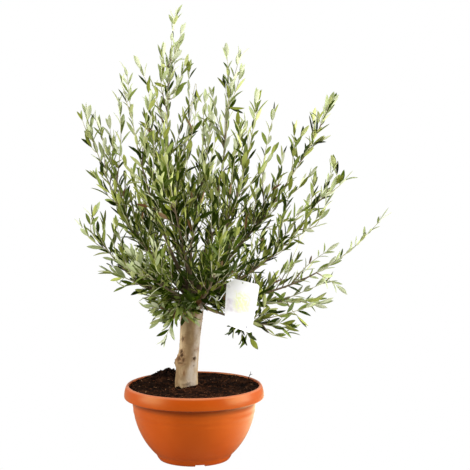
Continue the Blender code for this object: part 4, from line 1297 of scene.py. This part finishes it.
# How full each limb's foliage stands in the picture, from a bare shoot at 0 to a dense mass at 1,
# how many long companions run beside its stem, how much paler it is than the rest, the share of
# its stem that is bare, the size of the leaves at its end, and where on it the last side shoot is.
Habit = namedtuple("Habit", "fullness companions pale bare end_size last", defaults=(0.0, 0.85, 1.0))
HABITS = {
    "leader": Habit(0.60, 0, 0.22, 0.0, 0.76),
    "upper_left": Habit(0.40, 1, 0.22),
    "left": Habit(0.45, 1, -0.02),
    "left_low": Habit(0.35, 0, 0.0),
    "left_side": Habit(0.50, 1, 0.15),
    "left_droop": Habit(0.60, 0, 0.25),
    "upper_right": Habit(0.34, 0, 0.28),
    "front_right": Habit(0.45, 1, -0.15),
    "right": Habit(0.35, 0, -0.10),
    "right_mid": Habit(0.40, 1, -0.10),
    "far_right": Habit(0.10, 0, 0.60, 0.10, 0.50, 0.3),
    "right_side": Habit(0.65, 1, 0.0),
    "right_droop": Habit(0.90, 0, -0.25, 0.36),
    "front_up": Habit(0.80, 2, -0.50),
    "front_low": Habit(0.90, 2, -0.60),
    "front_left": Habit(0.90, 1, 0.05),
    "back_up": Habit(0.60, 2, 0.25),
    "back_left": Habit(0.60, 2, 0.0),
    "back_right": Habit(0.60, 1, 0.0),
    "back_low": Habit(0.80, 1, 0.0),
}


# The long side shoots that stand out of the crown in the picture, by limb: how far up its stem
# each starts, a place it passes and its tip in millimetres, and how much paler its leaves are.
# The short ones whose leaves are darkest carry one pair, at the tip.
LONE_LEAF = -0.9
LONG_SHOOTS = {
    "leader": [
        (0.54, (-117, -19, 1047), (-144, -34, 1108), 0.2),
        (0.16, (-16, 13, 890), (-13, 28, 1098), 0.1),
        (0.16, (-4, 20, 1003), (-10, 18, 1012), -1.6),
        (0.16, (1, 28, 1050), (8, 28, 1056), -1.6),
        (0.60, (-89, -19, 1066), (-83, -34, 1141), 0.1),
        (0.71, (-57, 11, 1108), (-49, 26, 1153), 0.1),
        (0.98, (-54, -6, 1238), (-50, -8, 1252), -0.4),
        (0.66, (-56, -10, 1030), (-46, -14, 1056), 0.0),
        (0.72, (-80, 12, 1062), (-86, 16, 1086), -0.2),
        (0.82, (-78, -10, 1116), (-84, -14, 1136), -0.2),
        (0.85, (-60, 0, 1130), (-53, 4, 1150), 0.0),
        (0.28, (-4, -8, 930), (8, -14, 1006), 0.2),
    ],
    "back_up": [
        (0.73, (23, 176, 942), (29, 161, 1012), 0.1),
    ],
    "upper_left": [
        (0.51, (-134, -71, 929), (-119, -81, 1009), 0.0),
    ],
    "left": [
        (0.49, (-205, 13, 912), (-209, 13, 1013), 0.3),
        (0.64, (-252, 7, 884), (-259, -8, 941), 0.1),
        (0.57, (-229, 33, 869), (-238, 48, 940), 0.2),
        (0.82, (-299, 33, 946), (-299, 33, 968), 0.4),
        (0.42, (-211, -2, 724), (-215, -12, 728), -1.0),
        (0.49, (-231, 13, 757), (-237, 13, 762), -1.0),
        (0.59, (-252, 9, 800), (-255, -1, 809), -1.0),
        (0.78, (-283, 30, 882), (-288, 30, 889), -1.0),
    ],
    "upper_right": [
        (0.63, (103, 72, 1039), (128, 87, 1138), 0.2),
        (0.52, (90, 50, 1000), (98, 50, 1004), -1.6),
        (0.58, (92, 60, 1044), (90, 58, 1054), -1.6),
        (0.51, (69, 43, 940), (46, 28, 963), -0.6),
    ],
    "front_right": [
        (0.58, (128, -86, 894), (125, -86, 949), 0.2),
        (0.64, (153, -72, 907), (147, -57, 951), 0.3),
    ],
    "right": [
        (0.31, (196, 7, 834), (223, -8, 975), 0.0),
        (0.38, (242, 38, 798), (251, 53, 854), 0.0),
        (0.22, (215, 0, 760), (236, -10, 800), -0.3),
        (0.66, (332, 18, 890), (348, 8, 904), -0.4),
        (0.80, (338, 41, 945), (339, 51, 962), -0.4),
        (0.75, (329, 19, 895), (337, 9, 901), -1.0),
        (0.87, (374, 22, 991), (381, 12, 1011), 0.0),
        (0.65, (290, 38, 889), (302, 48, 917), -0.3),
    ],
    "right_mid": [
        (0.35, (255, -30, 700), (268, -45, 770), -0.3),
        (0.84, (399, -46, 797), (398, -46, 831), -0.2),
        (0.80, (400, -61, 782), (419, -76, 802), 0.3),
        (0.58, (340, -67, 676), (366, -87, 734), 0.2),
    ],
    "back_right": [
        (0.52, (268, 196, 666), (375, 206, 734), 0.1),
    ],
    "far_right": [
        (0.33, (322, 19, 554), (376, 19, 594), 0.5),
        (0.27, (270, -2, 539), (286, -22, 570), -0.2),
        (0.30, (295, 34, 511), (315, 49, 532), -0.2),
        (0.50, (382, 19, 516), (405, 19, 499), 0.6),
        (0.12, (170, 0, 540), (165, 10, 620), -0.4),
    ],
    "right_side": [
        (0.66, (298, 49, 469), (367, 49, 498), 0.2),
        (0.25, (160, -20, 530), (185, -30, 600), -0.4),
        (0.78, (281, 40, 423), (295, 30, 408), -1.0),
        (0.93, (322, 64, 446), (343, 74, 448), -0.6),
    ],
    "right_droop": [
        (0.50, (258, -38, 424), (351, -38, 453), -0.2),
        (0.45, (172, -50, 460), (184, -60, 492), -0.7),
        (0.50, (185, -50, 425), (215, -60, 430), -0.7),
        (0.59, (199, -33, 429), (193, -23, 473), -0.4),
        (0.68, (221, -58, 402), (249, -68, 403), -0.6),
        (0.68, (221, -48, 366), (255, -48, 372), -0.3),
        (0.37, (120, -46, 397), (114, -61, 388), -0.6),
        (0.40, (134, -48, 383), (137, -63, 371), -0.6),
        (0.46, (148, -56, 379), (159, -76, 362), -0.5),
    ],
    "left_low": [
        (0.70, (-286, -42, 660), (-279, -57, 700), 0.3),
        (0.59, (-253, -8, 622), (-254, 2, 670), -0.1),
        (0.43, (-221, -28, 605), (-219, -48, 655), -0.2),
        (0.49, (-222, -22, 553), (-226, -32, 557), -1.0),
    ],
    "left_side": [
        (0.52, (-171, -69, 511), (-186, -84, 510), -0.3),
        (0.86, (-212, -70, 539), (-220, -70, 542), -1.0),
        (0.75, (-191, -55, 529), (-200, -45, 527), 0.2),
        (0.37, (-132, -57, 501), (-140, -67, 499), -1.0),
    ],
    "left_droop": [
        (0.02, (-89, -28, 440), (-112, -18, 441), -0.3),
    ],
}


# Short sprouts on the front of the trunk's head, which hang over the strap: the angle and height
# where each leaves the bark, a place it passes and its tip.
HEAD_SPROUTS = [
    (-110, 0.460, (-0.026, -0.062, 0.453), (-0.018, -0.070, 0.440)),
    (-95, 0.466, (-0.012, -0.064, 0.458), (-0.006, -0.070, 0.448)),
    (-135, 0.455, (-0.043, -0.060, 0.451), (-0.054, -0.064, 0.440)),
    (-122, 0.450, (-0.034, -0.056, 0.446), (-0.042, -0.066, 0.436)),
    (-112, 0.448, (-0.036, -0.060, 0.430), (-0.024, -0.066, 0.424)),
    (-98, 0.446, (-0.024, -0.058, 0.428), (-0.012, -0.064, 0.421)),
    (-126, 0.446, (-0.046, -0.056, 0.424), (-0.058, -0.060, 0.416)),
    (-30, 0.476, (0.058, -0.045, 0.474), (0.066, -0.056, 0.460)),
]


# No leaves hang in these two spaces: between the trunk's head and the label, and low on the left.
# Each is given by its left and foot, and its right and top.
BARE_SPACES = [((0.032, 0.350), (0.088, 0.430)), ((-0.320, 0.350), (-0.128, 0.450))]


class Crown:
    """Where each mass may grow: nearest to its own stem, and clear of limbs, strap and label."""

    def __init__(self, paths):
        stems, boughs, self.rows, radii = [], [], {}, []
        for row, (limb, path) in enumerate(paths.items()):
            length = bough_length(path)
            self.rows[limb.name] = row
            stems.append(path.stretch(length, path.length, 9))
            boughs.append(path.stretch(0.0, length, 7))
            radii.append(limb.radius)
        self.stems = self.segments(stems)
        self.boughs = self.segments(boughs)
        self.bough_radii = np.array(radii)
        heights = np.linspace(TRUNK_HEIGHTS[0], TRUNK_HEIGHTS[-1], 8)
        self.trunk = self.segments([[trunk_axis(h) for h in heights]])
        self.strap = self.segments([strap_points])

    @staticmethod
    def segments(lines):
        array = np.array([[tuple(p) for p in line] for line in lines], float)
        return array[:, :-1], np.diff(array, axis=1)

    @staticmethod
    def distances(points, lines):
        """Distance from each point to each polyline, as an array of points by polylines."""
        starts, spans = lines
        off = points[:, None, None, :] - starts[None]
        along = (off * spans[None]).sum(3) / (spans**2).sum(2)[None]
        foot = off - np.clip(along, 0, 1)[..., None] * spans[None]
        return np.sqrt((foot**2).sum(3)).min(2)

    def is_own(self, name, points):
        """Whether the points lie nearer to the mass's own stem than to any other."""
        to_stems = self.distances(np.array([tuple(p) for p in points]), self.stems)
        row = self.rows[name]
        others = np.delete(to_stems, row, axis=1).min(1)
        return bool(to_stems[:, row].max() < SPACE_RADIUS and (others > to_stems[:, row]).all())

    def is_clear(self, points):
        """Whether the points are clear of limbs, strap, label and soil, and within the reach."""
        array = np.array([tuple(p) for p in points])
        near_bough = self.distances(array, self.boughs) - self.bough_radii[None] < CLEARANCE * 0.5
        near_trunk = self.distances(array, self.trunk) < max(TRUNK_RADII) + CLEARANCE
        near_strap = self.distances(array, self.strap) < STRAP_RADIUS + CLEARANCE
        if near_bough.any() or near_trunk.any() or near_strap.any():
            return False
        if array[:, 2].min() < POT_TOP + HEAP_HEIGHT:
            return False
        for least, most in BARE_SPACES:
            if ((array[:, (0, 2)] > least).all(1) & (array[:, (0, 2)] < most).all(1)).any():
                return False
        low = np.array(cad_low) - REACH_MARGIN
        high = np.array(cad_high) + REACH_MARGIN
        if (array[:, :2] < low[:2]).any() or (array > high).any():
            return False
        return not any(in_front_of_label(Vector(p)) for p in points)


LABEL_ACROSS = LABEL_POSE.transposed()
LABEL_SIGHT_ACROSS = LABEL_ACROSS @ LABEL_SIGHT


def in_front_of_label(point):
    """The room that the label hangs in, and the clear view of it from the front."""
    off = LABEL_ACROSS @ (point - LABEL_CENTRE)
    seen = off - LABEL_SIGHT_ACROSS * (off.y / LABEL_SIGHT_ACROSS.y)
    inside = abs(seen.x) < LABEL_WIDTH / 2 + LABEL_MARGIN and abs(seen.z) < LABEL_HEIGHT / 2 + LABEL_MARGIN
    return inside and off.y < 0.010


crown = Crown(limb_paths)


def out_from(along, turn):
    """A way that is square to a direction, at an angle round it."""
    side, up = square_frame(along)
    return side * math.cos(turn) + up * math.sin(turn)


def shoot_path(limb, stem, distance, turn, lean, length, rise, steps=SHOOT_STEPS, follow=FOLLOW_STEM):
    """A shoot that leaves a stem, bends up towards the light and stays in its space."""
    along = stem.direction(distance)
    way = along * math.cos(lean) + out_from(along, turn) * math.sin(lean)
    points = [stem.at(distance)]
    for _ in range(steps):
        way = (way + Vector((0, 0, rise)) + along * follow).normalized()
        following = points[-1] + way * length / steps
        tests = [points[-1].lerp(following, 0.6), following]
        if not crown.is_clear(tests) or (rise > 0 and not crown.is_own(limb.name, tests)):
            break
        points.append(following)
    if len(points) < 2:
        return None
    path = Path(smooth_route(points, 4))
    return path if path.length >= LEAST_SHOOT else None


def grow_shoot(limb, stem, distance, number, length, rng, rise=RISE):
    """A side shoot, on the first side of the stem where there is room for it."""
    turn = GOLDEN_ANGLE * number + rng.uniform(*SHOOT_TURNS)
    lean = math.radians(SHOOT_ANGLE + rng.uniform(*SHOOT_LEANS))
    length *= rng.uniform(*SHOOT_LENGTHS)
    for side_tried in range(SIDES_TRIED):
        found = shoot_path(limb, stem, distance, turn + GOLDEN_ANGLE * side_tried, lean, length, rise)
        if found:
            return found
    return None


TONE_LIMITS = {"old": 0.75, "summer": 1.25, "fresh": 1.80}
PALER_WITH_REACH = 2.15
PALER_AT_END = 0.35
DARKER_LEAF = 1.2


def tone_of(limb, point, late, pale, rng):
    """The tone of a pair: older low in the crown, palest at the ends of the outer shoots."""
    reach = (point - HEART).length / limb.reach
    if reach < DRY_REACH and rng.random() < DRY_SHARE:
        return "dry"
    # Leaves pale on both sides: partly silvery olive leaves, partly painted highlights where leaves catch
    # the light.
    if rng.random() < SILVER_AND_GLINT_SHARE * (2 - reach):
        return "silver"
    mark = PALER_WITH_REACH * reach + PALER_AT_END * late**2 + HABITS[limb.name].pale + pale
    mark += rng.uniform(-0.5, 0.5)
    if rng.random() < DARK_SHARE:
        mark -= DARKER_LEAF
    for tone, limit in TONE_LIMITS.items():
        if mark < limit:
            return tone
    return "young"


def leaf_at(limb, root, way, normal, length, tone, rng):
    """A leaf if there is room for it, at a smaller size if need be."""
    for size in (length, length * SMALLER_LEAF):
        if crown.is_clear([root + way * size * 0.5, root + way * size]):
            low = min(max((BROAD_BELOW - root.z) / BROAD_FADE, 0.0), 1.0)
            reach = max(min((root - HEART).length / limb.reach, 1.0), BROAD_SHARE * low)
            share = LEAF_WIDTHS[0] + (LEAF_WIDTHS[1] - LEAF_WIDTHS[0]) * reach
            width = size * share * rng.uniform(*LEAF_UNEVEN)
            width *= SILVER_AND_GLINT_WIDTH if tone == "silver" else 1.0
            return [Leaf(root, way, normal, size, width, rng.uniform(*LEAF_BENDS), tone)]
    return []


def leaves_on(limb, path, kind, start, turn, pale, rng):
    """Leaves in crossed pairs along a twig, smaller at its end, with two small ones at the tip."""
    made = []
    is_stem = kind in (STEM, LONG_SHOOT)
    distance = start
    while distance < path.length - LAST_PAIR:
        along = path.direction(distance)
        late = distance / path.length
        shrink = 1 - (1 - HABITS[limb.name].end_size) * late**2 if is_stem else 1 - 0.25 * late**4
        size = LEAF_LENGTH * shrink * rng.uniform(*LEAF_SIZES)
        for half in (0.0, math.pi):
            if rng.random() < MISSING_SHARE:
                continue
            out = out_from(along, turn + half + rng.uniform(-0.5, 0.5))
            lean = math.radians(LEAF_ANGLE + rng.uniform(*LEAF_LEANS) - LEAF_CLOSING * late)
            lift = LEAF_LIFT * min(max((path.at(distance).z - LIFT_FROM) / LIFT_SPREAD, 0.1), 1.0)
            way = (along * math.cos(lean) + out * math.sin(lean) + Vector((0, 0, lift))).normalized()
            normal = (along - way * along.dot(way)).normalized()
            roll = rng.uniform(-LEAF_ROLL, LEAF_ROLL)
            normal = normal * math.cos(roll) + way.cross(normal) * math.sin(roll)
            normal += (LIGHT_WAY - way * LIGHT_WAY.dot(way)) * rng.uniform(0, LIGHT_PULL)
            normal.normalize()
            tone = tone_of(limb, path.at(distance), late, pale, rng)
            length = size * rng.uniform(*LEAF_UNEVEN)
            made += leaf_at(limb, path.at(distance), way, normal, length, tone, rng)
        turn += math.pi / 2 + PAIR_TWIST
        distance += kind.spacing * rng.uniform(*PAIR_SPACINGS) * shrink
    along = path.direction(path.length)
    for half in (0.0, math.pi):
        out = out_from(along, turn + half)
        way = (along + out * TIP_SPREAD).normalized()
        normal = (-out - way * -out.dot(way)).normalized()
        tone = tone_of(limb, path.at(path.length), 0.6, pale, rng)
        size = LEAF_LENGTH * rng.uniform(*(STEM_TIP_SIZES if is_stem else TIP_SIZES))
        made += leaf_at(limb, path.at(path.length - 0.001), way, normal, size, tone, rng)
    return made


def in_metres(place):
    """A place given in millimetres."""
    return Vector([n / 1000 for n in place])


twigs, leaves = [], []


def by_fullness(habit, limits):
    """A share that grows with how full a limb is: its value at none, and how much full adds."""
    least, growth = limits
    return least + growth * habit.fullness


def add_shoot(limb, path, kind, heart, order, rng, pale=0.0, first=None):
    """Keeps a shoot, where there was room for one, and the leaves on it."""
    if path:
        twigs.append(Twig(path, kind, heart))
        start = kind.first if first is None else first
        leaves.extend(leaves_on(limb, path, kind, start, order * kind.spin, kind.pale + pale, rng))


def add_twigs(limb, shoot, share, heart, number, rng):
    """Small twigs along the first share of a shoot, shorter the further out they stand."""
    for order in range(int(shoot.length * share / TWIG_SPACING)):
        spot = FIRST_TWIG + TWIG_SPACING * order
        length = TWIG_LENGTH * (1 - 0.5 * spot / shoot.length)
        twig = grow_shoot(limb, shoot, spot, number + 2.3 * order, length, rng)
        add_shoot(limb, twig, TWIG, heart, order, rng)


for limb, path in limb_paths.items():
    rng = random.Random(f"{limb.name} leaves")
    habit = HABITS[limb.name]
    bough_end = bough_length(path)
    stem = Path(path.stretch(bough_end - 0.003, path.length, 30))
    add_shoot(limb, stem, STEM, 0.0, 1, rng, first=max(habit.bare * stem.length, STEM.first))

    parts = 1 + len(BETWEEN_SHARES)
    for number in range(int((stem.length - LAST_SHOOT - FIRST_SHOOT) / SHOOT_SPACING) + 1):
        for part in range(parts):
            spot = FIRST_SHOOT + SHOOT_SPACING * (number + part / parts)
            late = spot / stem.length
            shoot_rng = random.Random(f"{limb.name} {number} {part}" if part else f"{limb.name} {number}")
            length = SHOOT_LENGTH * (1 - SHOOT_SHORTENING * late)
            if part:
                length *= BETWEEN_SHARES[part - 1]
            if not habit.bare <= late <= habit.last or part and late > by_fullness(habit, BETWEEN_UNTIL):
                continue
            shoot = grow_shoot(limb, stem, spot, number + part * 1.31, length, shoot_rng)
            add_shoot(limb, shoot, SIDE_SHOOT, late, number + part, rng)
            if shoot and late < by_fullness(habit, TWIGS_UNTIL):
                share = by_fullness(habit, TWIGGED_SHARE)
                add_twigs(limb, shoot, share, late + 0.2, number, shoot_rng)

    for order, (share, via, tip, pale) in enumerate(LONG_SHOOTS.get(limb.name, [])):
        shoot = Path(smooth_route([stem.at(stem.length * share), in_metres(via), in_metres(tip)], 10))
        first = LONG_SHOOT.first if pale > LONE_LEAF else shoot.length
        add_shoot(limb, shoot, LONG_SHOOT, 0.3, order, rng, pale, first)

    for order, share in enumerate(COMPANION_PLACES[:habit.companions]):
        shoot_rng = random.Random(f"{limb.name} companion {order}")
        spot = stem.length * (share + shoot_rng.uniform(-0.05, 0.05))
        length = min(COMPANION_LONGEST, (stem.length - spot) * shoot_rng.uniform(*COMPANION_LENGTHS))
        lean = math.radians(COMPANION_LEAN + shoot_rng.uniform(*COMPANION_LEANS))
        longest = None
        for side_tried in range(2 * SIDES_TRIED):
            turn = GOLDEN_ANGLE * (order * 2.2 + side_tried + 0.6)
            found = shoot_path(limb, stem, spot, turn, lean, length, COMPANION_RISE,
                               COMPANION_STEPS, COMPANION_FOLLOW)
            if found and (longest is None or found.length > longest.length + 0.01):
                longest = found
        if longest:
            add_shoot(limb, longest, COMPANION, 0.3, order, rng)
            add_twigs(limb, longest, by_fullness(habit, COMPANION_TWIGGED), 0.5, order, shoot_rng)

    bough = Path(path.stretch(0.0, bough_end, 12))
    for order in range(SPUR_COUNT):
        spot = 2 * SEAT_DEPTH + SPUR_SPACING * order
        if spot < bough.length:
            spur = grow_shoot(limb, bough, spot, order * 1.7, SPUR_LENGTH, rng, rise=SPUR_RISE)
            add_shoot(limb, spur, SPUR, 0.0, order, rng)

sprout_rng = random.Random(11)
for order in range(SPROUT_COUNT):
    height = sprout_rng.uniform(*SPROUT_HEIGHTS)
    turn = GOLDEN_ANGLE * order
    way = polar(math.degrees(turn), sprout_rng.uniform(*SPROUT_TILTS))
    start = trunk_axis(height) + polar(math.degrees(turn), 90) * (trunk_radius(height, turn) - SPROUT_SEAT)
    length = SPROUT_LENGTH * sprout_rng.uniform(*SPROUT_LENGTHS)
    points = [start]
    for _ in range(SHOOT_STEPS):
        way = (way + Vector((0, 0, sprout_rng.uniform(*SPROUT_BENDS)))).normalized()
        following = points[-1] + way * length / SHOOT_STEPS
        if len(points) > 1 and not crown.is_clear([following]):
            break
        points.append(following)
    if len(points) > 2:
        sprout = Path(smooth_route(points, 4))
        near = min(LIMBS, key=lambda limb: (limb_paths[limb].at(0.08) - points[-1]).length)
        add_shoot(near, sprout, SPROUT, 0.0, order, sprout_rng)
for order, (angle, height, via, tip) in enumerate(HEAD_SPROUTS):
    depth = trunk_radius(height, math.radians(angle)) - SPROUT_SEAT
    start = trunk_axis(height) + polar(angle, 90) * depth
    sprout = Path(smooth_route([start, Vector(via), Vector(tip)], 6))
    add_shoot(LIMBS[0], sprout, HEAD_SPROUT, 0.0, order, sprout_rng)


# The twigs. Thin round shoots that taper to their tips and carry the leaves. The older wood is
# grey brown, and the ends of the shoots are still pale green. One piece holds each kind.
OLD_WOOD = (0.135, 0.098, 0.058)
GREEN_WOOD = (0.38, 0.36, 0.21)
OLD_SHARE = 0.55
STEM_STEPS = 24
TWIG_STEP = 0.012
old_wood = finish("old_twig_bark", OLD_WOOD, roughness=0.8, specular=0.2)
green_wood = finish("green_twig_bark", GREEN_WOOD, roughness=0.65)
old_shapes, green_shapes = [], []
for twig in twigs:
    is_stem = twig.kind == STEM
    count = STEM_STEPS if is_stem else max(5, int(twig.path.length / TWIG_STEP))
    points = twig.path.stretch(0.0, twig.path.length, count)
    foot = twig.kind.radius
    radii = [foot + (TIP_RADIUS - foot) * i / (count - 1) for i in range(count)]
    split = int(count * (0.5 if is_stem else OLD_SHARE - 0.7 * twig.heart))
    if split < 1:
        green_shapes.append(tube(points, radii, 5))
        continue
    old_shapes.append(tube(points[:split + 1], radii[:split + 1], 7 if is_stem else 5))
    green_shapes.append(tube(points[split:], [r * 0.98 for r in radii[split:]], 5))
old_piece = make_piece("old_twigs", *gather(old_shapes), [old_wood], sharp_angle=75)
green_piece = make_piece("green_twigs", *gather(green_shapes), [green_wood], sharp_angle=75)
mass_names = [f"mass_{limb.name}" for limb in LIMBS]
for one in (old_piece, green_piece):
    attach(one, "root")
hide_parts(*mass_names)


# The leaves. Leathery lance-shaped blades folded a little along the midrib, glossy dark green
# above and matt pale green below. One piece holds the leaves of one age, with both sides. The
# stations are places along a leaf, as shares of its length, and how wide it is there.
LEAF_STATIONS = [(0.07, 0.10), (0.20, 0.58), (0.42, 0.96), (0.66, 0.94), (0.87, 0.52)]
LEAF_FOLD = 0.16
LEAF_BODY = 0.0006
LEAF_GLOSS = {"Specular Tint": (1.0, 1.0, 0.55)}
LEAF_COLOURS = {
    "old": ((0.016, 0.029, 0.001), (0.175, 0.198, 0.030)),
    "summer": ((0.038, 0.062, 0.002), (0.310, 0.342, 0.082)),
    "fresh": ((0.150, 0.190, 0.038), (0.420, 0.450, 0.180)),
    "young": ((0.325, 0.368, 0.178), (0.515, 0.545, 0.350)),
    # Pale on both sides: partly silvery leaves, partly painted highlights.
    "silver": ((0.500, 0.520, 0.340), (0.600, 0.620, 0.440)),
    "dry": ((0.130, 0.060, 0.025), (0.220, 0.140, 0.070)),
}


def leaf_template():
    """Places on a leaf as (share of length, half widths out, half widths up, depth), and faces."""
    rows = [(0.0, 0.0, 0.0, 0.0)]
    for share, wide in LEAF_STATIONS:
        rows += [(share, -wide, LEAF_FOLD * wide * 2, 0.0), (share, 0.0, 0.0, 0.0),
                 (share, wide, LEAF_FOLD * wide * 2, 0.0), (share, 0.0, 0.0, -1.0)]
    rows.append((1.0, 0.0, 0.0, 0.0))
    tip = len(rows) - 1
    upper = [(0, 2, 1), (0, 3, 2)]
    under = [(0, 1, 4), (0, 4, 3)]
    for i in range(len(LEAF_STATIONS) - 1):
        a, b = 1 + 4 * i, 5 + 4 * i
        upper += [(a, a + 1, b + 1, b), (a + 1, a + 2, b + 2, b + 1)]
        under += [(a, b, b + 3, a + 3), (a + 3, b + 3, b + 2, a + 2)]
    a = 1 + 4 * (len(LEAF_STATIONS) - 1)
    upper += [(a, a + 1, tip), (a + 1, a + 2, tip)]
    under += [(a, tip, a + 3), (a + 3, tip, a + 2)]
    return np.array(rows), upper, under


def leaf_mesh(name, group, finishes):
    """All the leaves of one tone as one mesh, upper sides in the first slot."""
    rows, upper, under = leaf_template()
    pattern = upper + under
    vertices, faces, slots = [], [], []
    for leaf in group:
        side = leaf.along.cross(leaf.normal).normalized()
        along, normal = np.array(leaf.along), np.array(leaf.normal)
        share = rows[:, 0:1]
        sag = -leaf.bend * share**2 * leaf.length * 0.5
        out = np.array(side) * rows[:, 1:2] * leaf.width / 2
        up = normal * (rows[:, 2:3] * leaf.width / 2 + rows[:, 3:4] * LEAF_BODY + sag)
        spots = np.array(leaf.root) + along * share * leaf.length + out + up
        start = len(vertices)
        vertices += spots.tolist()
        faces += [tuple(start + i for i in face) for face in pattern]
        slots += [0] * len(upper) + [1] * len(under)
    made = make_piece(name, vertices, faces, finishes)
    made.data.polygons.foreach_set("material_index", slots)
    made.data.set_sharp_from_angle(angle=math.radians(60))
    return made


for tone, (above, below) in LEAF_COLOURS.items():
    upper_finish = finish(f"{tone}_leaf_upper", above, roughness=0.36, specular=0.10, others=LEAF_GLOSS)
    under_finish = finish(f"{tone}_leaf_underside", below, roughness=0.7, specular=0.05)
    group = [leaf for leaf in leaves if leaf.tone == tone]
    piece = leaf_mesh(f"{tone}_leaves", group, [upper_finish, under_finish])
    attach(piece, "root")
